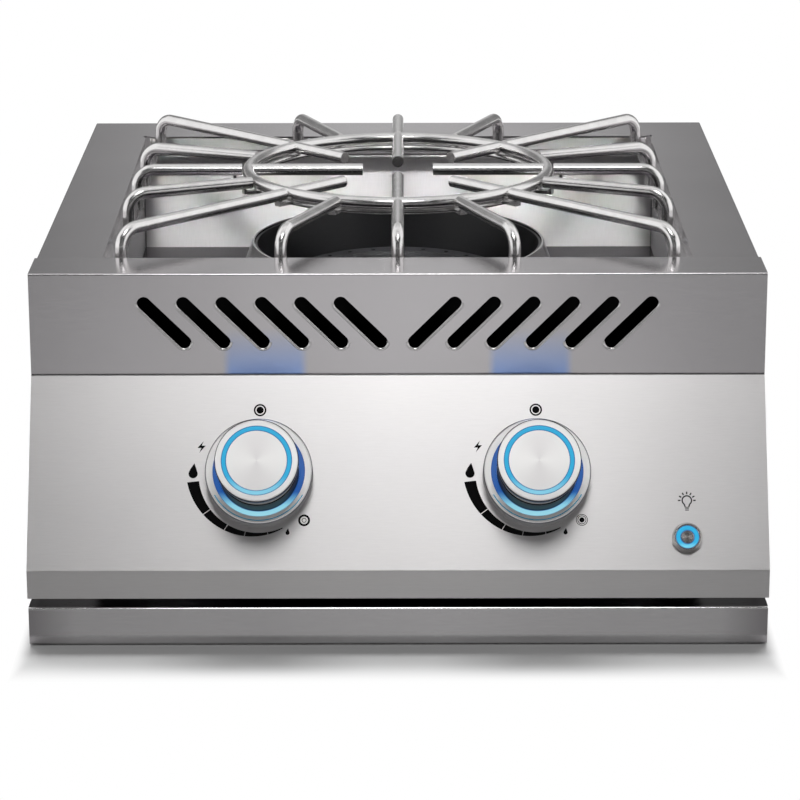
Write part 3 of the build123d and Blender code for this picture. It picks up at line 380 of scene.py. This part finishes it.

# The tray front is painted darker towards its ends as painted shade, and its rounded upper edge is polished
# smoother and painted white as a painted highlight

trayEdgeHighlight = {"fromZ": 23.7, "beforeY": -282.4, "hex": "#ffffff", "roughness": 0.14}
trayEndShade = {"fromX": 200.0, "toX": 227.0, "hex": "#a5a2a4"}
tree = traySteel.node_tree
parts = objectParts(tree)
aside = reckon(tree, "ABSOLUTE", parts["X"])
# Painted shade: the colour darkens towards both ends
repaint(traySteel, remap(tree, aside, (trayEndShade["fromX"] * mm, trayEndShade["toX"] * mm)), trayEndShade["hex"])
high = reckon(tree, "GREATER_THAN", parts["Z"], trayEdgeHighlight["fromZ"] * mm)
front = reckon(tree, "LESS_THAN", parts["Y"], trayEdgeHighlight["beforeY"] * mm)
edge = reckon(tree, "MULTIPLY", high, front)
# Painted highlight: the rounded edge is painted white; its smoother roughness is polish
repaint(traySteel, edge, trayEdgeHighlight["hex"])
resmooth(traySteel, edge, trayEdgeHighlight["roughness"])

# The panel's brush lines draw its sheen out up and down; its upper cut edge is duller than its face

cutEdge = {"aboveZ": 157.5, "hex": "#8f8e8e"}
panelSheen = 0.6
tree, shader = opened(panelSteel)
shader.inputs["Anisotropic"].default_value = panelSheen
lineWay = addNode(tree, "ShaderNodeCombineXYZ", {"Y": panelUp.y, "Z": panelUp.z})
tree.links.new(lineWay.outputs[0], shader.inputs["Tangent"])
upper = reckon(tree, "GREATER_THAN", objectParts(tree)["Z"], cutEdge["aboveZ"] * mm)
repaint(panelSteel, upper, cutEdge["hex"])

# Blue light from each knob tints the fascia's lower edge, and the strip on top is polished smoother

glow = {"x": 82.5, "half": 27.5, "edge": 7.0, "height": 30.0, "from": 158.0, "hex": "#9db8ee", "skin": 0.4}
polish = {"aboveZ": 222.0, "edge": 0.6, "roughness": 0.18}
tree = fasciaSteel.node_tree
parts = objectParts(tree)
offset = reckon(tree, "SUBTRACT", reckon(tree, "ABSOLUTE", parts["X"]), glow["x"] * mm)
away = reckon(tree, "ABSOLUTE", offset)
within = remap(tree, away, (glow["half"] * mm, (glow["half"] - glow["edge"]) * mm), shape="SMOOTHSTEP")
low = remap(tree, parts["Z"], ((glow["from"] + glow["height"]) * mm, glow["from"] * mm))
outer = reckon(tree, "LESS_THAN", parts["Y"], (panelShape["topY"] + glow["skin"]) * mm)
repaint(fasciaSteel, reckon(tree, "MULTIPLY", reckon(tree, "MULTIPLY", within, low), outer), glow["hex"])
onTop = remap(tree, parts["Z"], (polish["aboveZ"] * mm, (polish["aboveZ"] + polish["edge"]) * mm))
resmooth(fasciaSteel, onTop, polish["roughness"])


# Materials with an even grain: it moves the colour, and in some the roughness or the surface

def grainySkin(name, look):
    material, tree, shader = newMaterial(name, look["metallic"], look["roughness"])
    grain = noise(tree, look["grain"], look["detail"])
    colour = mixColour(tree, grain, linear(look["dark"]), linear(look["pale"]))
    tree.links.new(colour, shader.inputs["Base Color"])
    if "shine" in look:
        shader.inputs["Specular IOR Level"].default_value = look["shine"]
    if "roughSpread" in look:
        spread = look["roughSpread"]
        rough = remap(tree, grain, toRange=(look["roughness"] - spread, look["roughness"] + spread))
        tree.links.new(rough, shader.inputs["Roughness"])
    if "depth" in look:
        addBump(tree, shader, grain, look["strength"], look["depth"])
    return material


# Polished stainless wire, drawn and tumbled: bright, with a faint ripple along it

wireLook = {"pale": "#f3f2f1", "dark": "#dcdada", "metallic": 1.0, "roughness": 0.24, "roughSpread": 0.04,
            "grain": 9.0, "detail": 2.0, "strength": 0.4, "depth": 0.02}
wireSteel = grainySkin("polished stainless wire", wireLook)

# Black porcelain enamel, fired on steel: deep black with a soft gloss and a fine orange peel

enamelLook = {"pale": "#131314", "dark": "#050506", "metallic": 0.0, "roughness": 0.3,
              "grain": 2.5, "detail": 3.0, "strength": 0.5, "depth": 0.03}
finishNodes(grainySkin("black porcelain enamel", enamelLook), "burner_bowl", "bowl_floor")

# Cast iron, sand cast and oiled: dark grey, dull, with sand grain

castLook = {"pale": "#2e2e30", "dark": "#171719", "metallic": 0.4, "roughness": 0.6,
            "grain": 1.6, "detail": 4.0, "strength": 0.6, "depth": 0.15}
finishNodes(grainySkin("sand cast iron", castLook), "ring_burner", "inner_burner", "burner_cap")

# Zinc-plated steel and machined brass, most of it hidden under the panel: small cloudy tints

zincLook = {"pale": "#c8c9cc", "dark": "#a2a3a7", "metallic": 1.0, "roughness": 0.32, "roughSpread": 0.08,
            "grain": 6.0, "detail": 4.0}
brassLook = {"pale": "#d2b06a", "dark": "#b08c45", "metallic": 1.0, "roughness": 0.28, "roughSpread": 0.08,
             "grain": 5.0, "detail": 4.0}
zincSteel = grainySkin("zinc plated steel", zincLook)
finishNodes(zincSteel, "ring_mixing_tube", "inner_mixing_tube", "ring_air_shutter", "inner_air_shutter",
            "gas_pipe", "switch_nut", "valve_stem_left", "valve_stem_right", "ledge_screws", "floor_screws")
finishNodes(grainySkin("machined brass", brassLook), "inlet_fitting", "valve_body_left", "valve_body_right",
            "orifice_left", "orifice_right", "valve_plug_left", "valve_plug_right")

# Moulded ABS, black and lightly textured; and glazed alumina for the electrodes

plasticLook = {"pale": "#0e0d11", "dark": "#070709", "metallic": 0.0, "roughness": 0.5, "shine": 0.3,
               "grain": 0.8, "detail": 2.0, "strength": 0.4, "depth": 0.02}
aluminaLook = {"pale": "#e9e4d8", "dark": "#d8d2c4", "metallic": 0.0, "roughness": 0.25, "shine": 0.3,
               "grain": 3.0, "detail": 2.0, "strength": 0.4, "depth": 0.02}
finishNodes(grainySkin("black ABS", plasticLook), "knob_skirt_left", "knob_skirt_right", "spark_module")
finishNodes(grainySkin("glazed alumina", aluminaLook), "ring_electrode", "inner_electrode")


# What is round on the panel is measured from its own axis

def panelMeasures(tree, centre):
    arm = addNode(tree, "ShaderNodeVectorMath", {0: objectPlace(tree), 1: centre}, operation="SUBTRACT")
    found = {}
    for name, way in {"across": (1, 0, 0), "rise": panelUp, "height": panelOut}.items():
        share = addNode(tree, "ShaderNodeVectorMath", {0: arm.outputs[0], 1: way}, operation="DOT_PRODUCT")
        found[name] = share.outputs["Value"]
    flat = addNode(tree, "ShaderNodeCombineXYZ", {0: found["across"], 1: found["rise"]})
    reach = addNode(tree, "ShaderNodeVectorMath", {0: flat.outputs[0]}, operation="LENGTH")
    found["radius"] = reach.outputs["Value"]
    return found


# Turned zinc alloy with satin plating: pale, with fine rings about its axis and a faint bow-tie sheen painted
# into its colour.
# Bands in other colours, painted shade and painted reflection, are set by radius, height above the panel or
# rise along it, in mm.

turning = {"ringPitch": 0.9, "ringDepth": 0.004, "bumpStrength": 0.3}
# Cap bands: a dark painted shade line at the rim's edge, and a blue-grey painted reflection of the lit rings
# on its side
capLook = {"pale": "#f4f3f2", "dark": "#e8e6e6", "metallic": 1.0, "roughness": 0.4,
           "bands": [{"hex": "#3a3a40", "where": {"height": (42.4, 43.2), "radius": (24.8, 26.0)}},
                     {"hex": "#6a7c9c", "where": {"height": (30.0, 42.4), "radius": (25.0, 26.0)}}]}
# Bezel bands: a painted shade line round its outer edge, painted shade on its side, and a cyan painted
# reflection low on its inner edge
bezelLook = {"pale": "#f6f5f4", "dark": "#eceaea", "metallic": 0.6, "roughness": 0.4,
             "bands": [{"hex": "#7b7b80", "where": {"height": (10.4, 11.4), "radius": (32.0, 34.0)}},
                       {"hex": "#adacae", "where": {"height": (0.0, 10.4), "radius": (32.4, 34.0)}},
                       {"hex": "#3fb4dc", "where": {"radius": (30.6, 31.2), "rise": (-34.0, -15.0)}}]}
switchLook = {"pale": "#dedcdb", "dark": "#9d9b9b", "metallic": 1.0, "roughness": 0.22, "bands": []}


def turnedMetal(name, centre, look):
    material, tree, shader = newMaterial(name, look["metallic"], look["roughness"])
    measured = panelMeasures(tree, centre)
    turn = reckon(tree, "ARCTAN2", measured["rise"], measured["across"])
    # Painted sheen: the colour runs pale and dark twice round the axis
    sheen = reckon(tree, "COSINE", reckon(tree, "MULTIPLY", turn, 2.0))
    colour = mixColour(tree, remap(tree, sheen, (-1.0, 1.0)), linear(look["dark"]), linear(look["pale"]))
    for band in look["bands"]:
        mask = 1.0
        for measure, (low, high) in band["where"].items():
            inside = reckon(tree, "COMPARE", measured[measure], (low + high) / 2 * mm, (high - low) / 2 * mm)
            mask = reckon(tree, "MULTIPLY", inside, mask)
        colour = mixColour(tree, mask, colour, linear(band["hex"]))
    tree.links.new(colour, shader.inputs["Base Color"])
    pitch = reckon(tree, "MULTIPLY", measured["radius"], 2 * math.pi / (turning["ringPitch"] * mm))
    addBump(tree, shader, reckon(tree, "SINE", pitch), turning["bumpStrength"], turning["ringDepth"])
    return material


# Frosted acrylic lit from behind: dark blue at its edges, cyan inside and paler low down.
# The heights where its colour changes are shares of its outer radius.

acrylic = {"unlit": "#0a1420", "roughness": 0.35, "level": 0.95, "paleTo": 0.2,
           "sideFrom": -0.75, "sideTo": -0.45}
faceRing = {"inner": 18.4, "outer": 21.6, "edge": 0.8,
            "edgeHex": "#12468c", "midHex": "#1ca9d8", "lowHex": "#86cfe6", "sideHex": "#1ca9d8"}
bezelRing = {"inner": 24.9, "outer": 28.5, "edge": 0.6,
             "edgeHex": "#12468c", "midHex": "#1ca9d8", "lowHex": "#9fdcec", "sideHex": "#1e55a0"}
switchRing = {"inner": 4.2, "outer": 7.2, "edge": 0.6,
              "edgeHex": "#1e5aaa", "midHex": "#28b4e4", "lowHex": "#7fdcf2", "sideHex": "#28b4e4"}


def litAcrylic(name, centre, ring):
    material, tree, shader = newMaterial(name, roughness=acrylic["roughness"])
    measured = panelMeasures(tree, centre)
    inner, outer, edge = ring["inner"] * mm, ring["outer"] * mm, ring["edge"] * mm
    low = remap(tree, measured["rise"], (-outer, outer * acrylic["paleTo"]), (1.0, 0.0))
    tint = mixColour(tree, low, linear(ring["midHex"]), linear(ring["lowHex"]))
    side = remap(tree, measured["rise"], (outer * acrylic["sideFrom"], outer * acrylic["sideTo"]))
    sided = mixColour(tree, side, tint, linear(ring["sideHex"]))
    fromInner = remap(tree, measured["radius"], (inner, inner + edge))
    fromOuter = remap(tree, measured["radius"], (outer, outer - edge))
    colour = mixColour(tree, reckon(tree, "MULTIPLY", fromInner, fromOuter), linear(ring["edgeHex"]), sided)
    shader.inputs["Base Color"].default_value = linear(acrylic["unlit"])
    tree.links.new(colour, shader.inputs["Emission Color"])
    shader.inputs["Emission Strength"].default_value = acrylic["level"]
    return material


for side, sign in (("left", -1), ("right", 1)):
    spot = onPanel(sign * knobSpot["x"], knobSpot["along"])
    finishNodes(turnedMetal(f"satin plated zinc cap {side}", spot, capLook), f"knob_cap_{side}")
    finishNodes(turnedMetal(f"satin plated zinc bezel {side}", spot, bezelLook), f"bezel_{side}")
    finishNodes(litAcrylic(f"lit acrylic face {side}", spot, faceRing), f"knob_light_ring_{side}")
    finishNodes(litAcrylic(f"lit acrylic bezel {side}", spot, bezelRing), f"bezel_light_ring_{side}")
switchCentre = onPanel(switchSpot["x"], switchSpot["along"])
finishNodes(turnedMetal("turned stainless switch", switchCentre, switchLook), "switch_body", "switch_button")
finishNodes(litAcrylic("lit acrylic switch", switchCentre, switchRing), "switch_light_ring")
print("finishes set")


# Wire pieces follow their centre lines: a tree sweeps a round section along edges

wire = {"radius": 4.0, "sides": 24, "height": 238.5, "rodInner": 106.4, "rodCount": 16, "bend": 12.0,
        "legHalf": 178.5, "cornerPull": 5.0, "footHeight": 211.4, "hoopRadius": 102.0, "longTip": 24.0,
        "shortTip": 52.0, "fingerEnd": 101.0, "fingerCount": 8, "bendSteps": 10, "ringSteps": 144}
sharpAngle = 40

wireTree = bpy.data.node_groups.new("wire along edges", "GeometryNodeTree")
wireTree.interface.new_socket("Geometry", in_out="INPUT", socket_type="NodeSocketGeometry")
radiusSocket = wireTree.interface.new_socket("Wire radius", in_out="INPUT", socket_type="NodeSocketFloat")
sidesSocket = wireTree.interface.new_socket("Sides", in_out="INPUT", socket_type="NodeSocketInt")
wireTree.interface.new_socket("Geometry", in_out="OUTPUT", socket_type="NodeSocketGeometry")
wireIn = addNode(wireTree, "NodeGroupInput")
centreLine = addNode(wireTree, "GeometryNodeMeshToCurve", {"Mesh": wireIn.outputs["Geometry"]})
section = addNode(wireTree, "GeometryNodeCurvePrimitiveCircle", {"Resolution": wireIn.outputs["Sides"],
                                                                 "Radius": wireIn.outputs["Wire radius"]})
swept = addNode(wireTree, "GeometryNodeCurveToMesh", {"Curve": centreLine.outputs["Curve"],
                                                      "Profile Curve": section.outputs["Curve"],
                                                      "Fill Caps": True})
whole = addNode(wireTree, "GeometryNodeRealizeInstances", {"Geometry": swept.outputs["Mesh"]})
dressed = addNode(wireTree, "GeometryNodeSetMaterial", {"Geometry": whole.outputs["Geometry"],
                                                        "Material": wireSteel})
addNode(wireTree, "NodeGroupOutput", {"Geometry": dressed.outputs["Geometry"]})


def plainMesh(host):
    bpy.context.view_layer.update()
    mesh = bpy.data.meshes.new_from_object(host.evaluated_get(bpy.context.evaluated_depsgraph_get()))
    bpy.data.objects.remove(host)
    mesh.polygons.foreach_set("use_smooth", [True] * len(mesh.polygons))
    mesh.set_sharp_from_angle(angle=math.radians(sharpAngle))
    return mesh


def sweepWire(lines, radius):
    points = []
    edges = []
    for line, closed in lines:
        start = len(points)
        points += [Vector(p) * mm for p in line]
        edges += [(start + i, start + i + 1) for i in range(len(line) - 1)]
        if closed:
            edges.append((len(points) - 1, start))
    mesh = bpy.data.meshes.new("centre lines")
    mesh.from_pydata(points, edges, [])
    host = bpy.data.objects.new("wire host", mesh)
    scene.collection.objects.link(host)
    sweep = host.modifiers.new("wire", "NODES")
    sweep.node_group = wireTree
    sweep[radiusSocket.identifier] = radius * mm
    sweep[sidesSocket.identifier] = wire["sides"]
    return plainMesh(host)


def wayOut(i, count):
    turn = 2 * math.pi * i / count
    return Vector((math.cos(turn), math.sin(turn), 0))


def upBy(height):
    return Vector((0, 0, height))


wireLevel = upBy(wire["height"])
rodLines = []
for i in range(wire["rodCount"]):
    way = wayOut(i, wire["rodCount"])
    # every fourth rod, from the third on, points at a corner
    reach = wire["legHalf"] / max(abs(way.x), abs(way.y)) - (wire["cornerPull"] if i % 4 == 2 else 0)
    line = [way * wire["rodInner"] + wireLevel]
    for k in range(wire["bendSteps"] + 1):
        lean = math.pi / 2 * k / wire["bendSteps"]
        out = reach - wire["bend"] + wire["bend"] * math.sin(lean)
        line.append(way * out + upBy(wire["height"] - wire["bend"] + wire["bend"] * math.cos(lean)))
    line.append(way * reach + upBy(wire["footHeight"]))
    rodLines.append((line, False))
newPiece("wireRods", sweepWire(rodLines, wire["radius"]), "grate", "polished_wire", "grate_rods")

wokLines = []
for i in range(wire["fingerCount"]):
    way = wayOut(i, wire["fingerCount"])
    tip = wire["longTip"] if i % 2 == 0 else wire["shortTip"]
    wokLines.append(([way * tip + wireLevel, way * wire["fingerEnd"] + wireLevel], False))
hoop = [wayOut(i, wire["ringSteps"]) * wire["hoopRadius"] + wireLevel for i in range(wire["ringSteps"])]
wokLines.append((hoop, True))
wokMesh = sweepWire(wokLines, wire["radius"])
newPiece("wokRing", wokMesh, "wok_ring", "polished_wire", "wok_hoop", "wok_fingers")
finishNodes(wireSteel, "grate_ring")

# Each punched slot has a bright pressed lip along its lower side and round its lower end

slotLip = {"radius": 1.0, "sink": 0.6, "outside": 0.5, "count": 6, "pitch": 24.4, "firstX": 23.0,
           "height": 191.5, "length": 35.0, "width": 8.7, "angle": 45.0, "upperArc": (180, 225),
           "lowerArc": (225, 360), "steps": 12}
lean = math.radians(-slotLip["angle"])
bow = slotLip["width"] / 2 + slotLip["outside"]
lipLines = []
for sign in (-1, 1):
    for i in range(slotLip["count"]):
        line = []
        for end, (start, stop) in ((-1, slotLip["upperArc"]), (1, slotLip["lowerArc"])):
            for k in range(slotLip["steps"] + 1):
                swing = math.radians(start + (stop - start) * k / slotLip["steps"])
                right = end * slotLip["length"] / 2 * math.cos(lean) + bow * math.cos(swing)
                up = end * slotLip["length"] / 2 * math.sin(lean) + bow * math.sin(swing)
                line.append((sign * (slotLip["firstX"] + i * slotLip["pitch"] - right),
                             panelShape["topY"] + slotLip["sink"], slotLip["height"] + up))
        lipLines.append((line, False))
newPiece("slotLips", sweepWire(lipLines, slotLip["radius"]), "burner_box", "polished_wire")

# The fold behind the tray front's rounded edge runs further back than the solid's, and is painted dark as
# painted shade

trayFold = {"half": 228.4, "frontY": -284.0, "topZ": 25.0, "start": 1.6, "depth": 24.4, "thick": 1.0,
            "proud": 0.05}
foldShape = bmesh.new()
for corner in bmesh.ops.create_cube(foldShape, size=1.0)["verts"]:
    corner.co = Vector((corner.co.x * 2 * trayFold["half"],
                        trayFold["frontY"] + trayFold["start"] + (corner.co.y + 0.5) * trayFold["depth"],
                        trayFold["topZ"] + trayFold["proud"] + (corner.co.z - 0.5) * trayFold["thick"])) * mm
foldMesh = meshOf(foldShape, "trayFold")
foldMesh.materials.append(brushedSteel("stainless fold painted as shade", "#1e1d1f", "#171618", 0.3))
newPiece("trayFold", foldMesh, "drip_tray", "brushed_front")
print("wires swept")


# Cross-head screws: one head cut in mesh, set on points by a tree that turns it to face out

screw = {"headRadius": 3.5, "headHeight": 2.2, "brow": 0.7, "sides": 40, "domeSteps": 8, "slotLength": 4.4,
         "slotWidth": 0.95, "slotDepth": 1.3, "shank": 6.8, "shankRadius": 1.6, "spin": 1.57}
ledgeRow = {"aside": 181.5, "height": 211.1, "along": (-94.0, 17.0, 94.0), "seed": 4,
            "facing": {-1: (0, 0, 1), 1: (0, 0, 1)}}
wallRow = {"aside": 190.7, "height": 129.9, "along": (-120.0, 0.0, 120.0), "seed": 9,
           "facing": {-1: (-1, 0, 0), 1: (1, 0, 0)}}

headShape = bmesh.new()
dome = screw["headHeight"] - screw["brow"]
ball = (screw["headRadius"] ** 2 + dome ** 2) / (2 * dome)
profile = [(0.0, -screw["shank"]), (screw["shankRadius"], -screw["shank"]), (screw["shankRadius"], 0.0),
           (screw["headRadius"], 0.0), (screw["headRadius"], screw["brow"])]
for k in range(1, screw["domeSteps"]):
    lean = math.asin(screw["headRadius"] / ball) * (1 - k / screw["domeSteps"])
    profile.append((ball * math.sin(lean), screw["headHeight"] - ball + ball * math.cos(lean)))
profile.append((0.0, screw["headHeight"]))
rings = []
for radius, height in profile:
    if radius == 0:
        rings.append([headShape.verts.new((0, 0, height * mm))])
    else:
        rings.append([headShape.verts.new((wayOut(i, screw["sides"]) * radius + upBy(height)) * mm)
                      for i in range(screw["sides"])])
for a, b in zip(rings[:-1], rings[1:]):
    for i in range(screw["sides"]):
        j = (i + 1) % screw["sides"]
        corners = [a[i % len(a)], a[j % len(a)], b[j % len(b)], b[i % len(b)]]
        headShape.faces.new(list(dict.fromkeys(corners)))
bmesh.ops.recalc_face_normals(headShape, faces=headShape.faces)
screwHead = bpy.data.objects.new("screw head", meshOf(headShape, "screw head"))
scene.collection.objects.link(screwHead)
crossShape = bmesh.new()
for length, width in ((screw["slotLength"], screw["slotWidth"]), (screw["slotWidth"], screw["slotLength"])):
    for corner in bmesh.ops.create_cube(crossShape, size=1.0)["verts"]:
        corner.co = Vector((corner.co.x * length, corner.co.y * width,
                            screw["headHeight"] + corner.co.z * 2 * screw["slotDepth"])) * mm
crossCutter = bpy.data.objects.new("cross recess", meshOf(crossShape, "cross recess"))
scene.collection.objects.link(crossCutter)
cut = screwHead.modifiers.new("cross", "BOOLEAN")
cut.object = crossCutter
cut.use_self = True
cutMesh = plainMesh(screwHead)
bpy.data.objects.remove(crossCutter)
screwHead = bpy.data.objects.new("screw head cut", cutMesh)
scene.collection.objects.link(screwHead)

screwTree = bpy.data.node_groups.new("screws on points", "GeometryNodeTree")
screwTree.interface.new_socket("Geometry", in_out="INPUT", socket_type="NodeSocketGeometry")
headSocket = screwTree.interface.new_socket("Screw", in_out="INPUT", socket_type="NodeSocketObject")
spinSocket = screwTree.interface.new_socket("Spin seed", in_out="INPUT", socket_type="NodeSocketInt")
screwTree.interface.new_socket("Geometry", in_out="OUTPUT", socket_type="NodeSocketGeometry")
screwIn = addNode(screwTree, "NodeGroupInput")
facing = addNode(screwTree, "GeometryNodeInputNamedAttribute", {"Name": "facing"}, data_type="FLOAT_VECTOR")
aim = addNode(screwTree, "FunctionNodeAlignRotationToVector", {"Vector": facing.outputs[0]}, axis="Z")
spin = addNode(screwTree, "FunctionNodeRandomValue",
               {"Max": screw["spin"], "Seed": screwIn.outputs["Spin seed"]}, data_type="FLOAT")
twist = addNode(screwTree, "FunctionNodeAxisAngleToRotation", {"Axis": (0, 0, 1), "Angle": spin.outputs[1]})
turned = addNode(screwTree, "FunctionNodeRotateRotation", {0: aim.outputs[0], 1: twist.outputs[0]},
                 rotation_space="LOCAL")
template = addNode(screwTree, "GeometryNodeObjectInfo", {"Object": screwIn.outputs["Screw"]})
placed = addNode(screwTree, "GeometryNodeInstanceOnPoints", {"Points": screwIn.outputs["Geometry"],
                                                             "Instance": template.outputs["Geometry"],
                                                             "Rotation": turned.outputs[0]})
whole = addNode(screwTree, "GeometryNodeRealizeInstances", {"Geometry": placed.outputs["Instances"]})
dressed = addNode(screwTree, "GeometryNodeSetMaterial", {"Geometry": whole.outputs["Geometry"],
                                                         "Material": zincSteel})
addNode(screwTree, "NodeGroupOutput", {"Geometry": dressed.outputs["Geometry"]})


def setScrews(name, row, replaced):
    spots = []
    ways = []
    for sign in (-1, 1):
        for y in row["along"]:
            spots.append(Vector((sign * row["aside"], y, row["height"])) * mm)
            ways += row["facing"][sign]
    mesh = bpy.data.meshes.new("screw spots")
    mesh.from_pydata(spots, [], [])
    mesh.attributes.new("facing", "FLOAT_VECTOR", "POINT").data.foreach_set("vector", ways)
    host = bpy.data.objects.new("screw host", mesh)
    scene.collection.objects.link(host)
    setter = host.modifiers.new("screws", "NODES")
    setter.node_group = screwTree
    setter[headSocket.identifier] = screwHead
    setter[spinSocket.identifier] = row["seed"]
    newPiece(name, plainMesh(host), "burner_box", "plated_steel", replaced)


setScrews("ledgeScrews", ledgeRow, "ledge_screws")
setScrews("wallScrews", wallRow, "floor_screws")
bpy.data.objects.remove(screwHead)
print("screws set")


# Printed marks: matt black ink, laid on the panel in one thin film.
# Reaches and sizes are in mm, angles in degrees from the right, about each knob's axis.

inkLook = {"pale": "#0d0d0e", "dark": "#040404", "metallic": 0.0, "roughness": 0.85, "shine": 0.1,
           "grain": 0.5, "detail": 2.0}
inkFilm = {"sink": -0.02, "top": 0.08, "arcTurn": 120, "arcSteps": 16, "dotSteps": 32}
inkMesh = bmesh.new()


def inkPoints(x, along, points, out):
    return [inkMesh.verts.new(onPanel(x + right, along - up, out)) for right, up in points]


def printShape(x, along, inner, outer):
    # a strip between two lines of (right, up) points
    low = [inkPoints(x, along, row, inkFilm["sink"]) for row in (inner, outer)]
    high = [inkPoints(x, along, row, inkFilm["top"]) for row in (inner, outer)]
    for i in range(len(inner) - 1):
        inkMesh.faces.new((low[0][i], low[0][i + 1], low[1][i + 1], low[1][i]))
        inkMesh.faces.new((high[1][i], high[1][i + 1], high[0][i + 1], high[0][i]))
    foot = low[0] + low[1][::-1]
    roof = high[0] + high[1][::-1]
    for i in range(len(foot)):
        j = (i + 1) % len(foot)
        inkMesh.faces.new((foot[j], foot[i], roof[i], roof[j]))


def printOutline(x, along, points):
    low = inkPoints(x, along, points, inkFilm["sink"])
    high = inkPoints(x, along, points, inkFilm["top"])
    inkMesh.faces.new(low[::-1])
    inkMesh.faces.new(high)
    for i in range(len(points)):
        j = (i + 1) % len(points)
        inkMesh.faces.new((low[i], low[j], high[j], high[i]))


def polar(angle, reach):
    return reach * math.cos(math.radians(angle)), reach * math.sin(math.radians(angle))


def around(right, up, radius, start, end, steps):
    turns = [polar(start + (end - start) * i / steps, radius) for i in range(steps + 1)]
    return [(right + u, up + v) for u, v in turns]


def printRing(x, along, right, up, inner, outer):
    turn = inkFilm["arcTurn"]
    for start in range(0, 360, turn):
        printShape(x, along, *[around(right, up, radius, start, start + turn, inkFilm["arcSteps"])
                               for radius in (inner, outer)])


def printDot(x, along, right, up, radius):
    printOutline(x, along, around(right, up, radius, 0, 360, inkFilm["dotSteps"])[:-1])


# A plain drop with a slanted tip stands for a flame: its lengths are shares of its size

drop = {"bellyUp": -0.15, "belly": 0.3, "bellyArc": (150, 390), "bellySteps": 20,
        "top": [(0.2, 0.2), (0.08, 0.55), (-0.16, 0.2)]}


def printDrop(x, along, right, up, size):
    belly = around(right, up + drop["bellyUp"] * size, drop["belly"] * size, *drop["bellyArc"],
                   drop["bellySteps"])
    printOutline(x, along, belly + [(right + u * size, up + v * size) for u, v in drop["top"]])


def printStroke(x, along, start, end, width):
    a, b = Vector(start), Vector(end)
    way = (b - a).normalized()
    aside = Vector((-way.y, way.x)) * width / 2
    printOutline(x, along, [tuple(a + aside), tuple(a - aside), tuple(b - aside), tuple(b + aside)])


marks = {"offAbove": 41.0, "offRing": (2.9, 3.9), "offDot": 2.25, "boltAngle": 153.9, "boltReach": 40.2,
         "boltScale": 1.35, "highAngle": 177, "highReach": 41.2, "highSize": 9.5, "lowAngle": 296,
         "lowReach": 40.0, "lowSize": 4.2, "burnerAngle": 314, "burnerReach": 39.9, "innerDot": 1.6}
bolt = [(0.9, 2.7), (-1.9, -0.5), (-0.1, -0.5), (-1.0, -2.7), (1.9, 0.6), (0.1, 0.6)]
burnerRings = {-1: [(2.4, 3.7), (1.1, 1.45)], 1: [(2.3, 2.7), (3.25, 3.65)]}
arc = {"start": 186, "end": 294, "outer": 45.0, "inner": 37.6, "tail": 36.2, "tailWidth": 0.5,
       "gaps": (216, 238.5, 257, 278.5), "gapWidth": 0.5, "steps": 12}
arcGap = math.degrees(arc["gapWidth"] / arc["outer"])
arcStops = [arc["start"], *arc["gaps"], arc["end"]]
for sign in (-1, 1):
    x, along = sign * knobSpot["x"], knobSpot["along"]
    printRing(x, along, 0, marks["offAbove"], *marks["offRing"])
    printDot(x, along, 0, marks["offAbove"], marks["offDot"])
    boltRight, boltUp = polar(marks["boltAngle"], marks["boltReach"])
    boltPoints = [(boltRight + u * marks["boltScale"], boltUp + v * marks["boltScale"]) for u, v in bolt]
    printOutline(x, along, boltPoints)
    printDrop(x, along, *polar(marks["highAngle"], marks["highReach"]), marks["highSize"])
    printDrop(x, along, *polar(marks["lowAngle"], marks["lowReach"]), marks["lowSize"])
    for a, b in zip(arcStops[:-1], arcStops[1:]):
        inside, outside = [], []
        for i in range(arc["steps"] + 1):
            angle = a + (b - a - arcGap) * i / arc["steps"]
            share = (angle - arc["start"]) / (arc["end"] - arc["start"])
            innerReach = arc["inner"] + (arc["tail"] - arc["inner"]) * share
            outerReach = arc["outer"] + (arc["tail"] + arc["tailWidth"] - arc["outer"]) * share
            inside.append(polar(angle, innerReach))
            outside.append(polar(angle, outerReach))
        printShape(x, along, inside, outside)
    burnerAt = polar(marks["burnerAngle"], marks["burnerReach"])
    if sign > 0:
        printDot(x, along, *burnerAt, marks["innerDot"])
    for inner, outer in burnerRings[sign]:
        printRing(x, along, *burnerAt, inner, outer)

# The light's mark over the switch: a bulb with a neck, a screw foot and seven rays

bulb = {"right": 0.4, "along": 80.3, "radius": 2.9, "stroke": 0.8, "arc": (-55, 235), "arcSteps": 28,
        "neckTop": (1.65, -2.3), "neckFoot": (1.15, -4.2), "threads": (-4.3, -5.2, -6.1), "threadHalf": 1.2,
        "threadStroke": 0.5, "rayCount": 7, "rayFrom": 3.9, "rayTo": 5.5}
bulbAt = (switchSpot["x"] + bulb["right"], bulb["along"])
printShape(*bulbAt, *[around(0, 0, bulb["radius"] + side * bulb["stroke"] / 2, *bulb["arc"], bulb["arcSteps"])
                      for side in (-1, 1)])
for side in (-1, 1):
    neck = [(side * right, up) for right, up in (bulb["neckTop"], bulb["neckFoot"])]
    printStroke(*bulbAt, *neck, bulb["stroke"])
for up in bulb["threads"]:
    printStroke(*bulbAt, (-bulb["threadHalf"], up), (bulb["threadHalf"], up), bulb["threadStroke"])
for i in range(bulb["rayCount"]):
    angle = 180 * i / (bulb["rayCount"] - 1)
    printStroke(*bulbAt, polar(angle, bulb["rayFrom"]), polar(angle, bulb["rayTo"]), bulb["stroke"])
bmesh.ops.recalc_face_normals(inkMesh, faces=inkMesh.faces)
panelMarks = meshOf(inkMesh, "panelMarks")
panelMarks.materials.append(grainySkin("matt black screen ink", inkLook))
newPiece("panelMarks", panelMarks, "burner_box", "black_plastic")
print("marks printed")
